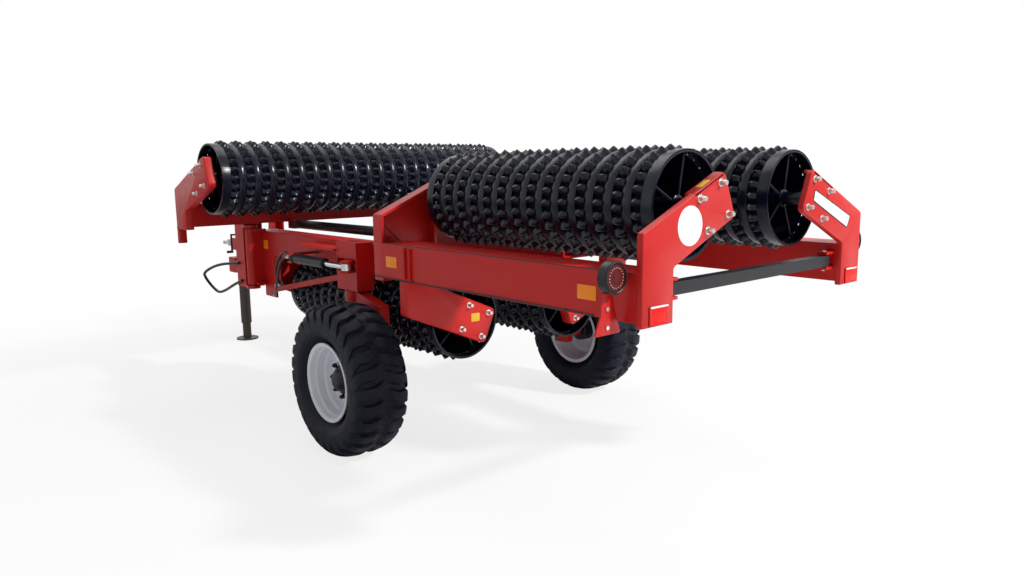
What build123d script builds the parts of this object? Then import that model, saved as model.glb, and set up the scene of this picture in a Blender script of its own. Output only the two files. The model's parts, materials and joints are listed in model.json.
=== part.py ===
from build123d import *
import math
import os

# A towed folding land roller, shown folded for the road: a roll section across
# the front, two wings folded straight back beside each other, two road wheels
# and a drawbar on its jack.
# Millimetres. X is the machine's right, Y its forward direction, Z is up.
# The origin is on the ground, at the middle of the machine's length and width.

# Road wheels
TRACK_HALF = 925.0
TYRE_R = 410.0
TYRE_W = 295.0
BEAD_R = 196.0
FLANGE_R = 215.0
RIM_WALL = 12.0
RIM_EDGE = 128.0
WIDEST_R = 350.0
CROWN_HALF = 108.0
HUB_R = 72.0
AXLE_R = 30.0

# Overall reach from the axle
HITCH_TIP = 3940.0
REAR_FACE = 1926.0
AXLE_Y = -(HITCH_TIP - REAR_FACE) / 2
AXLE_Z = TYRE_R

# Ring rolls
TOOTH_R = 240.0
RING_R = 220.0
BORE_R = 205.0
STAR_W = 40.0
RING_W = 59.0
TEETH = 16
PITCH = STAR_W + RING_W
SHAFT_R = 30.0
SPOKES = 5
SPOKE_W = 12.0
SPOKE_T = 12.0
END_INSET = 45.0
STUB_GAP = 6.0

# Bearing housings
HOUSING_T = 22.0
HOUSING_HALF = 66.0
BOSS_R = 52.0
BOSS_END = 40.0

# Clearances
FIT = 0.08
SEAT = 0.3

# Beams and plates
BEAM = 180.0
BEAM_Z = 1060.0
OUTER_FACE = 823.0
INNER_FACE = 660.0
INNER_BEAM_W = 145.0
INNER_BEAM_H = 165.0
INNER_BEAM_Z = 1022.0
PLATE = 15.0
PAN_DEPTH = 85.0
SHORT_PAN_DEPTH = 70.0
REAR_PAN_DEPTH = 27.0
REAR_LIP_DEPTH = 50.0
REAR_LIP_L = 210.0

# Arms that carry the rolls
ROLL_X = 400.0
UPPER_RISE = 309.0
LOWER_DROP = 342.0
ARM_HALF = 98.0
ARM_END = 112.0
ARM_SLOPE = 23.5
ARM_FOOT = 18.0

# Stations along a wing, measured from the axle
UPPER_ROLL_REAR = -1799.0
UPPER_STARS = 14
FRONT_WEB = -150.0
LOWER_WEB = -455.0
LOWER_ROLL_REAR = -370.0
LOWER_STARS = 16
LOWER_FRONT_WEB = 1420.0
INNER_BEAM_FRONT = 1690.0

# Wing hinge
HINGE_X = 735.0
HINGE_FROM_AXLE = 1610.0
PIN_R = 25.0
HINGE_TUBE_R = 38.0
HINGE_TUBE_Z = (735.0, 1120.0)
HINGE_EAR_R = 45.0
HINGE_EAR_T = 20.0
HINGE_GAP = 10.0

# Centre section
CENTRE_ROOM = 69.5
CENTRE_STARS = 22
CENTRE_BEAM_W = 160.0
CENTRE_BEAM_H = 150.0
CENTRE_BEAM_REAR = 1545.0
CENTRE_ROLL_Z = 1470.0
CENTRE_PAN = 50.0
CENTRE_END = 150.0
CENTRE_SLOPE = 20.4
CENTRE_FRONT = 1728.0
FINGER_W = 36.0
FINGER_DROP = 95.0
CARRIER_X = (610.0, 750.0)
CARRIER_DEPTH = 145.0
CARRIER_FOOT = 700.0
CARRIER_TOP = 1310.0

# Drawbar
PIVOT_FROM_AXLE = 1930.0
DRAW_Z = 830.0
DRAW_H = 110.0
PIVOT_R = 20.0
PIVOT_BOSS = 42.0
PIVOT_EARS = (630.0, 715.0)
EYE_SIDE_GAP = 5.0
CROSS_HALF = 710.0
SIDE_START_X = 600.0
SIDE_END = 2900.0
CROSS_REAR = 1990.0
SIDE_W = 90.0
NOSE_HALF = 60.0
NOSE_START = 2710.0
NOSE_END = 3700.0
EYE_FROM_AXLE = 3880.0
EYE_R = 60.0
EYE_BORE_R = 25.0
EYE_T = 30.0

# Jack
JACK_X = -160.0
JACK_FROM_AXLE = 3200.0
JACK_TUBE_R = 45.0
JACK_LEG_R = 36.0
JACK_TUBE_Z = (150.0, 1000.0)
FOOT_R = 95.0
FOOT_T = 12.0
JACK_GRIP = 30.0
JACK_BORE_TOP = 850.0
JACK_LEG_TOP = 700.0
CRANK_ROD_R = 8.0
CRANK_OUT = 45.0
CRANK_ARM = 150.0

# Wheel leg and its upright pivot
KING_X = 715.0
KING_FROM_AXLE = 235.0
KING_R = 40.0
COLUMN_HALF_Y = 110.0
COLUMN_OUT = 770.0
COLUMN_Z = (848.0, 1120.0)
CRANK_R = 125.0
CRANK_T = 14.0
CRANK_GAP = 52.0
CRANK_Z = 990.0
TURN = 75.0
LEG_X = (690.0, 750.0)

# Cylinders
STEER_PIN_FROM_AXLE = 800.0
BARREL_R = 30.0
ROD_R = 16.0
EYE_THICK = 36.0
EYE_OUT_R = 28.0
EYE_HOLE_R = 13.0
FOLD_BASE = (450.0, 1490.0)
FOLD_END = (420.0, 150.0)
FOLD_Z = 1145.0
TILT_BASE = (2800.0, 1200.0)
TILT_END = (1880.0, 1380.0)
TILT_BARREL_R = 45.0
TILT_ROD_R = 25.0
TILT_EYE_R = 42.0
TILT_HOLE_R = 20.0
TILT_EYE_T = 60.0
TILT_EAR_X = 42.0
LUG_R = 45.0
LUG_FOOT = 30.0
TOWER_HALF = 85.0
TOWER_WEB = 200.0
EAR_T = 12.0
EAR_CLEAR = 2.0
BARREL_GAP = 1.0
BARREL_BACK = 20.0
STEER_ROD_SHOWN = 241.0
STEER_ROD_IN = 250.0
FOLD_ROD_SHOWN = 111.0
FOLD_ROD_IN = 300.0
FOLD_POST_X = 520.0
TILT_ROD_SHOWN = 107.0
TILT_ROD_IN = 180.0

# Leg, bracket, strut and hub details
HEAD_LOW = 785.0
HEAD_R = 62.0
LEG_GAP = 3.0
LEG_W = 140.0
LEG_FOOT = 52.0
HUB_LENGTH = 130.0
HUB_CAP_R = 46.0
AXLE_INSET = 20.0
BRACKET_LOW = 650.0
GUSSET = 60.0
STRUT_W = 30.0
STRUT_H = 34.0
STRUT_FRONT_Z = 695.0
STRUT_REAR_Z = 915.0
GUARD_X = 790.0
GUARD_Z = 1062.0

# Tie bar between the wings' rear ends
TIE_X = 595.0
TIE_FROM_AXLE = -1865.0
TIE_Z = 1070.0
TIE_SIZE = 50.0
TIE_END = 600.0
TIE_GAP = 5.0

# Rear lamps
LAMP_R = 60.0
LAMP_X = 897.0
LAMP_Z = 1140.0
LAMP_FROM_AXLE = -1832.0
LAMP_DEPTH = 45.0
LAMP_EDGE = 6.0
LAMP_PLATE_T = 6.0
LAMP_PLATE_LOW = 930.0

# Hoses, as chosen points from the axle: X, Y and height
HOSE_R = 8.0
LOOP_R = 10.0
HOSE_SHARE = 0.45
HOSES = (
    (
        "hose_steer_front",
        HOSE_R,
        (
            (-814, 835, 996),
            (-812, 905, 1022),
            (-800, 1000, 1000),
            (-788, 1092, 937),
            (-760, 1188, 868),
            (-712, 1268, 802),
            (-677, 1310, 756),
        ),
    ),
    (
        "hose_steer_rear",
        HOSE_R,
        (
            (-851, 804, 998),
            (-852, 862, 988),
            (-842, 935, 945),
            (-812, 1040, 866),
            (-770, 1160, 784),
            (-718, 1300, 706),
            (-669, 1428, 668),
        ),
    ),
    (
        "hose_loop",
        LOOP_R,
        (
            (-761, 1790, 868),
            (-793, 1950, 856),
            (-822, 2110, 824),
            (-842, 2269, 763),
            (-819, 2308, 722),
            (-788, 2312, 670),
            (-762, 2280, 625),
            (-750, 2225, 604),
            (-752, 2070, 644),
            (-764, 1905, 700),
            (-761, 1750, 748),
        ),
    ),
)

os.makedirs("parts", exist_ok=True)

upper_z = BEAM_Z + UPPER_RISE
lower_z = BEAM_Z - LOWER_DROP
beam_low = BEAM_Z - BEAM / 2
beam_top = BEAM_Z + BEAM / 2
inner_low = INNER_BEAM_Z - INNER_BEAM_H / 2
inner_top = INNER_BEAM_Z + INNER_BEAM_H / 2
hinge_y = AXLE_Y + HINGE_FROM_AXLE
centre_roll_y = hinge_y - HINGE_X + ROLL_X
rear_web_y = AXLE_Y - REAR_FACE
fold_ear_in = EYE_THICK / 2 + EAR_CLEAR
fold_ear_out = fold_ear_in + EAR_T
sides = (("left", -1), ("right", 1))
WING_SIZES = (BARREL_R, ROD_R, EYE_OUT_R, EYE_HOLE_R, EYE_THICK)
TILT_SIZES = (TILT_BARREL_R, TILT_ROD_R, TILT_EYE_R, TILT_HOLE_R, TILT_EYE_T)


def roll_length(stars):
    """Length of a roll over its smooth end rings."""
    return stars * PITCH + RING_W


centre_half = roll_length(CENTRE_STARS) / 2 + CENTRE_ROOM


def facing(direction, origin):
    """A plane that looks along a level direction, with its local Y straight up."""
    ahead = Vector(*direction)
    return Plane(origin=origin, x_dir=Vector(0, 0, 1).cross(ahead), z_dir=ahead)


def on_plane(plane, points):
    """Points given as (level coordinate, height), in the plane's own X and Y."""
    sign = plane.x_dir.X + plane.x_dir.Y
    return [(sign * level, height) for level, height in points]


def finish(name, piece):
    """Label a finished piece and write it under its own name."""
    piece.part.label = name
    export_step(piece.part, f"parts/{name}.step")


def block(x, y, z, mode=Mode.ADD):
    """A box between two values on each axis, given in any order."""
    sizes = [abs(b - a) for a, b in (x, y, z)]
    middle = [(a + b) / 2 for a, b in (x, y, z)]
    with Locations(tuple(middle)):
        Box(*sizes, mode=mode)


def rod_along(start, end, radius, mode=Mode.ADD):
    """A round bar from one point to another."""
    way = Vector(*end) - Vector(*start)
    with BuildSketch(Plane(origin=start, z_dir=way)) as section:
        Circle(radius)
    extrude(section.sketch, amount=way.length, mode=mode)


def toothed_roll(name, base, stars, stubs):
    """A ring roll: smooth rings and toothed rings by turns, on spokes and a shaft.
    base is the plane of its first end; stubs are the shaft's reach past each end."""
    length = roll_length(stars)
    half_step = math.pi / TEETH
    ring = [(RING_R, 2 * k * half_step) for k in range(TEETH)]
    star = [(TOOTH_R if k % 2 else RING_R, k * half_step) for k in range(2 * TEETH)]
    ring_points = [(r * math.cos(a), r * math.sin(a)) for r, a in ring]
    star_points = [(r * math.cos(a), r * math.sin(a)) for r, a in star]
    star_planes = [base.offset(RING_W + PITCH * k) for k in range(stars)]
    spoke_planes = [base.offset(END_INSET), base.offset(length - END_INSET - SPOKE_T)]
    with BuildPart() as roll:
        with BuildSketch(base):
            Polygon(*ring_points, align=None)
        extrude(amount=length)
        with BuildSketch(*star_planes):
            Polygon(*star_points, align=None)
        extrude(amount=STAR_W)
        with BuildSketch(base):
            Circle(BORE_R)
        extrude(amount=length, mode=Mode.SUBTRACT)
        with BuildSketch(*spoke_planes):
            with PolarLocations(BORE_R / 2, SPOKES):
                Rectangle(BORE_R + SPOKE_T, SPOKE_W)
            Circle(2 * SHAFT_R)
        extrude(amount=SPOKE_T)
        with BuildSketch(base.offset(-stubs[0])):
            Circle(SHAFT_R)
        extrude(amount=length + sum(stubs))
    finish(name, roll)


def arm_outline(axis, inner, outer, foot, slope, end, up):
    """Corner points of an arm plate that climbs (up = 1) or drops (up = -1)
    from a post between inner and outer to the roll axis beyond it."""
    tan = math.tan(math.radians(slope))
    cos = math.cos(math.radians(slope))
    sin = math.sin(math.radians(slope))
    lift = ARM_HALF / cos
    near = axis[1] + up * (lift - (outer - axis[0]) * tan)
    far = axis[1] - up * (lift + (inner - axis[0]) * tan)
    tip = (axis[0] - end * cos, axis[1] + up * end * sin)
    side = (ARM_HALF * sin, up * ARM_HALF * cos)
    return [
        (outer, foot),
        (outer, near),
        (tip[0] + side[0], tip[1] + side[1]),
        (tip[0] - side[0], tip[1] - side[1]),
        (inner, far),
        (inner, foot),
    ]


def pan(plane, points, depth):
    """A plate with a flange round its whole edge, open on the far side."""
    with BuildSketch(plane) as whole:
        Polygon(*points, align=None)
    extrude(whole.sketch, amount=depth)
    with BuildSketch(plane.offset(PLATE)) as inside:
        Polygon(*points, align=None)
        offset(amount=-PLATE, kind=Kind.INTERSECTION, mode=Mode.REPLACE)
    extrude(inside.sketch, amount=depth - PLATE, mode=Mode.SUBTRACT)


def housing(plane, turn):
    """A bearing housing on a web: a square foot with a round boss and its bore."""
    with BuildSketch(plane) as foot:
        with Locations(Location((0, 0, 0), turn)):
            RectangleRounded(2 * HOUSING_HALF, 2 * HOUSING_HALF, HOUSING_HALF / 4)
    extrude(foot.sketch, amount=HOUSING_T)
    with BuildSketch(plane) as boss:
        Circle(BOSS_R)
    extrude(boss.sketch, amount=BOSS_END)
    with BuildSketch(plane) as bore:
        Circle(SHAFT_R + FIT)
    extrude(bore.sketch, amount=BOSS_END, mode=Mode.SUBTRACT)


def wheel(name, side):
    """A road wheel: tyre, dished rim and hub, three pieces of one body."""
    middle = (side * TRACK_HALF, AXLE_Y, AXLE_Z)
    plane = Plane(origin=middle, x_dir=(side, 0, 0), z_dir=(0, -side, 0))
    axis = Axis(middle, (1, 0, 0))
    bead = RIM_EDGE - RIM_WALL - SEAT
    wide = TYRE_W / 2
    half = ((bead, BEAD_R), (wide, WIDEST_R), (CROWN_HALF, TYRE_R))
    flare = (wide - bead) / (WIDEST_R - BEAD_R)
    with BuildPart() as tyre:
        with BuildSketch(plane):
            Polygon(*half, *[(-x, r) for x, r in reversed(half)], align=None)
        revolve(axis=axis)
    finish(f"tyre_{name}", tyre)

    barrel = BEAD_R - SEAT
    with BuildPart() as rim:
        with BuildSketch(plane):
            with Locations((0, barrel - RIM_WALL / 2)):
                Rectangle(2 * RIM_EDGE, RIM_WALL)
            for end in (-1, 1):
                Polygon(
                    (end * (RIM_EDGE - RIM_WALL), barrel - RIM_WALL),
                    (end * RIM_EDGE, barrel - RIM_WALL),
                    (end * RIM_EDGE, FLANGE_R),
                    (end * (bead + SEAT + flare * (FLANGE_R - BEAD_R)), FLANGE_R),
                    (end * (bead + SEAT), BEAD_R),
                    align=None,
                )
            with Locations((0, (barrel + HUB_R) / 2)):
                Rectangle(RIM_WALL, barrel - HUB_R)
        revolve(axis=axis)
    finish(f"rim_{name}", rim)

    with BuildPart() as hub:
        with BuildSketch(plane):
            with Locations((0, (HUB_R - SEAT + AXLE_R + FIT) / 2)):
                Rectangle(HUB_LENGTH, HUB_R - SEAT - AXLE_R - FIT)
            with Locations((HUB_LENGTH / 2 + RIM_WALL / 2, HUB_CAP_R / 2)):
                Rectangle(RIM_WALL, HUB_CAP_R)
        revolve(axis=axis)
    finish(f"hub_{name}", hub)


def wheel_leg(name, side):
    """The leg under a wing: an upright pivot pin with a crank, a head, an arm
    and a stub axle."""
    king = (side * KING_X, AXLE_Y + KING_FROM_AXLE)
    crank_end = crank_pin(side, 0.0)
    with BuildPart() as leg:
        with Locations((*king, (HEAD_LOW + COLUMN_Z[1] - LEG_GAP) / 2)):
            Cylinder(KING_R, COLUMN_Z[1] - LEG_GAP - HEAD_LOW)
        for level in (CRANK_Z - CRANK_GAP / 2, CRANK_Z + CRANK_GAP / 2):
            with BuildSketch(Plane.XY.offset(level - CRANK_T / 2)):
                with BuildLine():
                    FilletPolyline(*crank_outline(king, crank_end), radius=CRANK_T, close=True)
                make_face()
            extrude(amount=CRANK_T)
        with Locations((*king, (HEAD_LOW + COLUMN_Z[0] - LEG_GAP) / 2)):
            Cylinder(HEAD_R, COLUMN_Z[0] - LEG_GAP - HEAD_LOW)
        arm_plane = facing((side, 0, 0), (side * LEG_X[0], 0, 0))
        with BuildSketch(arm_plane):
            Polygon(*on_plane(arm_plane, leg_outline()), align=None)
        extrude(amount=LEG_X[1] - LEG_X[0])
        with BuildSketch(arm_plane.offset(LEG_X[1] - LEG_X[0])):
            with Locations(on_plane(arm_plane, [(AXLE_Y, AXLE_Z)])[0]):
                Circle(AXLE_R)
        extrude(amount=TRACK_HALF + HUB_LENGTH / 2 - AXLE_INSET - LEG_X[1])
    finish(f"leg_{name}", leg)


def crank_pin(side, turned):
    """Level place of the crank's pin, with the leg turned by an angle in degrees."""
    angle = math.radians(TURN / 2 - turned)
    reach = KING_X + CRANK_R * math.cos(angle)
    return (side * reach, AXLE_Y + KING_FROM_AXLE - CRANK_R * math.sin(angle))


def crank_outline(king, pin):
    """Four corners of a crank plate from the pivot pin to past the crank's pin."""
    way = Vector(pin[0] - king[0], pin[1] - king[1]).normalized()
    across = Vector(-way.Y, way.X)
    start = Vector(*king)
    end = Vector(*pin) + way * EYE_OUT_R
    corners = (
        start + across * KING_R,
        end + across * EYE_OUT_R,
        end - across * EYE_OUT_R,
        start - across * KING_R,
    )
    return [(corner.X, corner.Y) for corner in corners]


def leg_outline():
    """Side outline of the leg, from its head down to round the stub axle."""
    head = AXLE_Y + KING_FROM_AXLE
    top = COLUMN_Z[0] - LEG_GAP
    return [
        (head + HEAD_R - LEG_GAP, top),
        (head - HEAD_R, top),
        (AXLE_Y - LEG_W / 2, HEAD_LOW),
        (AXLE_Y - LEG_W / 2, AXLE_Z + LEG_W),
        (AXLE_Y - LEG_FOOT, AXLE_Z - LEG_FOOT),
        (AXLE_Y + LEG_FOOT, AXLE_Z - LEG_FOOT),
        (AXLE_Y + LEG_W / 2, AXLE_Z + LEG_W),
        (head - HEAD_R / 2, HEAD_LOW - LEG_W / 2),
        (head + HEAD_R - LEG_GAP, HEAD_LOW),
    ]


def tie_ears(side, inner):
    """Two ears on an outer beam's end over and under the tie bar, and on the left
    the pin it swings on."""
    y = AXLE_Y + TIE_FROM_AXLE
    for level in (TIE_Z - TIE_SIZE / 2 - TIE_GAP - EAR_T, TIE_Z + TIE_SIZE / 2 + TIE_GAP):
        block(
            (side * inner, side * (TIE_X - TIE_SIZE / 2)),
            (y - TIE_SIZE / 2, y + TIE_SIZE / 2),
            (level, level + EAR_T),
        )
    if side < 0:
        with Locations((-TIE_X, y, TIE_Z)):
            Cylinder(EYE_HOLE_R - FIT, TIE_SIZE + 2 * TIE_GAP + EAR_T)


def tip_lip(plane, tip, root, low):
    """The deeper edge over a rear arm's bearing, along the arm's top edge from its tip."""
    along = (root - tip).normalized() * REAR_LIP_L
    down = (low - tip).normalized() * PLATE
    with BuildSketch(plane) as lip:
        Polygon(*[(p.X, p.Y) for p in (tip, tip + along, tip + along + down, tip + down)], align=None)
    extrude(lip.sketch, amount=REAR_LIP_DEPTH)


def arms(name, side):
    """The four arm plates of a wing and the bearing housings on them."""
    inner = OUTER_FACE - BEAM
    upper = (ROLL_X, upper_z)
    lower = (ROLL_X, lower_z)
    foot = beam_low - ARM_FOOT
    rear = facing((0, 1, 0), (0, rear_web_y, 0))
    front = facing((0, -1, 0), (0, AXLE_Y + FRONT_WEB, 0))
    low_rear = facing((0, 1, 0), (0, AXLE_Y + LOWER_WEB, 0))
    low_front = facing((0, -1, 0), (0, AXLE_Y + LOWER_FRONT_WEB, 0))
    plates = (
        ("arm_rear", rear, upper, inner, OUTER_FACE, foot, 1, REAR_PAN_DEPTH),
        ("arm_middle", front, upper, INNER_FACE - BEAM, OUTER_FACE, foot, 1, PAN_DEPTH),
        ("arm_low_rear", low_rear, lower, inner, OUTER_FACE, beam_low, -1, SHORT_PAN_DEPTH),
        (
            "arm_low_front",
            low_front,
            lower,
            INNER_FACE - INNER_BEAM_W,
            INNER_FACE,
            inner_low,
            -1,
            PAN_DEPTH,
        ),
    )
    for label, plane, axis, near, far, base, up, depth in plates:
        outline = arm_outline(axis, near, far, base, ARM_SLOPE, ARM_END, up)
        with BuildPart() as plate:
            corners = on_plane(plane, [(side * x, z) for x, z in outline])
            pan(plane, corners, depth)
            if label == "arm_rear":
                tip_lip(plane, Vector(*corners[2]), Vector(*corners[1]), Vector(*corners[3]))
        finish(f"{label}_{name}", plate)
    with BuildPart() as bearings:
        for label, plane, axis, near, far, base, up, depth in plates:
            seat = plane.offset(PLATE)
            spot = on_plane(seat, [(side * axis[0], axis[1])])[0]
            sign = plane.x_dir.X * side
            origin = seat.from_local_coords((*spot, 0))
            turn = -sign * up * ARM_SLOPE
            housing(Plane(origin=origin, x_dir=seat.x_dir, z_dir=seat.z_dir), turn)
    finish(f"bearings_{name}", bearings)


def wing_beams(name, side):
    """A wing's outer beam, and its inner beam with the deep hinge bracket."""
    with BuildPart() as outer:
        block(
            (side * (OUTER_FACE - BEAM), side * OUTER_FACE),
            (rear_web_y + REAR_PAN_DEPTH, AXLE_Y + FRONT_WEB - PAN_DEPTH),
            (beam_low, beam_top),
        )
        tie_ears(side, OUTER_FACE - BEAM)
    finish(f"beam_outer_{name}", outer)

    bracket_rear = AXLE_Y + LOWER_FRONT_WEB
    bracket_front = hinge_y - HINGE_TUBE_R + PLATE
    with BuildPart() as inner:
        block(
            (side * (INNER_FACE - INNER_BEAM_W), side * INNER_FACE),
            (AXLE_Y + FRONT_WEB, AXLE_Y + INNER_BEAM_FRONT),
            (inner_low, inner_top),
        )
        block(
            (side * (INNER_FACE - PLATE), side * INNER_FACE),
            (bracket_rear, bracket_front),
            (BRACKET_LOW, inner_low),
        )
        block(
            (side * (INNER_FACE - PLATE), side * HINGE_X),
            (bracket_front - PLATE, bracket_front),
            HINGE_TUBE_Z,
        )
        for level in HINGE_TUBE_Z:
            inward = PLATE if level == HINGE_TUBE_Z[0] else -PLATE
            block(
                (side * INNER_FACE, side * HINGE_X),
                (bracket_front - GUSSET, bracket_front),
                (level, level + inward),
            )
        with Locations((side * HINGE_X, hinge_y, sum(HINGE_TUBE_Z) / 2)):
            Cylinder(HINGE_TUBE_R, HINGE_TUBE_Z[1] - HINGE_TUBE_Z[0])
            Cylinder(PIN_R + FIT, HINGE_TUBE_Z[1] - HINGE_TUBE_Z[0], mode=Mode.SUBTRACT)
        base = (side * FOLD_END[0], AXLE_Y + FOLD_END[1])
        post = (side * FOLD_POST_X, side * (FOLD_POST_X + 3 * PLATE))
        block(post, (base[1] - EYE_OUT_R, base[1] + EYE_OUT_R), (inner_top, FOLD_Z + fold_ear_out))
        for low in (FOLD_Z - fold_ear_out, FOLD_Z + fold_ear_in):
            block(
                (side * (FOLD_END[0] - EYE_OUT_R), post[0]),
                (base[1] - EYE_OUT_R, base[1] + EYE_OUT_R),
                (low, low + EAR_T),
            )
        plane = facing((side, 0, 0), (side * INNER_FACE, 0, 0))
        front = bracket_rear + GUSSET
        rear = AXLE_Y + KING_FROM_AXLE + COLUMN_HALF_Y
        outline = [
            (front, STRUT_FRONT_Z - STRUT_H / 2),
            (rear, STRUT_REAR_Z - STRUT_H / 2),
            (rear, STRUT_REAR_Z + STRUT_H / 2),
            (front, STRUT_FRONT_Z + STRUT_H / 2),
        ]
        with BuildSketch(plane):
            Polygon(*on_plane(plane, outline), align=None)
        extrude(amount=STRUT_W)
    finish(f"beam_inner_{name}", inner)


def column(name, side):
    """The upright box on the beam that holds the leg's pivot pin, open where the
    crank comes out, and the guard plate and ears of the steering cylinder."""
    middle = AXLE_Y + KING_FROM_AXLE
    king = (side * KING_X, middle)
    chamber = CRANK_GAP / 2 + CRANK_T / 2 + LEG_GAP
    with BuildPart() as post:
        block(
            (side * INNER_FACE, side * COLUMN_OUT),
            (middle - COLUMN_HALF_Y, middle + COLUMN_HALF_Y),
            COLUMN_Z,
        )
        with Locations((*king, sum(COLUMN_Z) / 2)):
            Cylinder(KING_R + FIT, COLUMN_Z[1] - COLUMN_Z[0], mode=Mode.SUBTRACT)
        block(
            (side * (KING_X - KING_R - FIT), side * (COLUMN_OUT + PLATE)),
            (middle - COLUMN_HALF_Y + PLATE, middle + COLUMN_HALF_Y - PLATE),
            (CRANK_Z - chamber, CRANK_Z + chamber),
            mode=Mode.SUBTRACT,
        )
    finish(f"column_{name}", post)

    pin_x = crank_pin(1, 0.0)[0]
    pin_y = AXLE_Y + STEER_PIN_FROM_AXLE
    with BuildPart() as ears:
        for low in (CRANK_Z - EYE_THICK / 2 - EAR_T, CRANK_Z + EYE_THICK / 2):
            block(
                (side * INNER_FACE, side * (pin_x + EYE_OUT_R)),
                (pin_y - EYE_OUT_R, pin_y + EYE_OUT_R),
                (low, low + EAR_T),
            )
        block(
            (side * INNER_FACE, side * GUARD_X),
            (middle + COLUMN_HALF_Y, pin_y + EYE_OUT_R),
            (GUARD_Z, GUARD_Z + EAR_T),
        )
    finish(f"cylinder_ears_{name}", ears)


def cylinder_barrel(name, base, end, shown, sizes, eye_axis):
    """A cylinder's barrel with its eye at base and its mouth short of end by shown.
    sizes are barrel, rod, eye and hole radius, and the eye's thickness."""
    outer, inner, eye_r, hole_r, eye_t = sizes
    way = (Vector(*end) - Vector(*base)).normalized()
    start = Vector(*base) + way * (eye_r + BARREL_BACK)
    mouth = Vector(*end) - way * shown
    with BuildPart() as barrel:
        rod_along(start, mouth, outer)
        rod_along(Vector(*base), start + way * inner, eye_t / 2)
        eye = Plane(origin=Vector(*base) - Vector(*eye_axis) * eye_t / 2, z_dir=eye_axis)
        with BuildSketch(eye):
            Circle(eye_r)
        extrude(amount=eye_t)
        with BuildSketch(eye):
            Circle(hole_r)
        extrude(amount=eye_t, mode=Mode.SUBTRACT)
        rod_along(start + way * outer, mouth, inner + BARREL_GAP, mode=Mode.SUBTRACT)
    finish(name, barrel)


def cylinder_rod(name, base, end, inside, sizes, eye_axis):
    """A cylinder's rod with its eye at end, reaching back to inside the barrel."""
    outer, inner, eye_r, hole_r, eye_t = sizes
    way = (Vector(*end) - Vector(*base)).normalized()
    with BuildPart() as rod:
        rod_along(Vector(*base) + way * inside, Vector(*end), inner)
        eye = Plane(origin=Vector(*end) - Vector(*eye_axis) * eye_t / 2, z_dir=eye_axis)
        with BuildSketch(eye):
            Circle(eye_r)
        extrude(amount=eye_t)
        with BuildSketch(eye):
            Circle(hole_r)
        extrude(amount=eye_t, mode=Mode.SUBTRACT)
    finish(name, rod)


def wing_cylinders(name, side):
    """The steering cylinder of the leg and the folding cylinder of the wing."""
    up = (0, 0, 1)
    base = (crank_pin(side, 0.0)[0], AXLE_Y + STEER_PIN_FROM_AXLE, CRANK_Z)
    end = (*crank_pin(side, 0.0), CRANK_Z)
    cylinder_barrel(f"steer_barrel_{name}", base, end, STEER_ROD_SHOWN, WING_SIZES, up)
    cylinder_rod(f"steer_rod_{name}", base, end, STEER_ROD_IN, WING_SIZES, up)
    base = (side * FOLD_BASE[0], AXLE_Y + FOLD_BASE[1], FOLD_Z)
    end = (side * FOLD_END[0], AXLE_Y + FOLD_END[1], FOLD_Z)
    cylinder_barrel(f"fold_barrel_{name}", base, end, FOLD_ROD_SHOWN, WING_SIZES, up)
    cylinder_rod(f"fold_rod_{name}", base, end, FOLD_ROD_IN, WING_SIZES, up)


def lamp(name, side):
    """A round rear lamp on its bracket plate beside the beam's end."""
    y = AXLE_Y + LAMP_FROM_AXLE
    with BuildPart() as plate:
        block(
            (side * OUTER_FACE, side * (LAMP_X + LAMP_R)),
            (y, y + LAMP_PLATE_T),
            (LAMP_PLATE_LOW, LAMP_Z + LAMP_R / 2),
        )
    finish(f"lamp_plate_{name}", plate)
    with BuildPart() as body:
        with BuildSketch(facing((0, -1, 0), (0, y, 0))):
            with Locations((side * LAMP_X, LAMP_Z)):
                Circle(LAMP_R)
        extrude(amount=LAMP_DEPTH)
        chamfer(body.faces().sort_by(Axis.Y)[0].edges(), LAMP_EDGE)
    finish(f"lamp_{name}", body)


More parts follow.
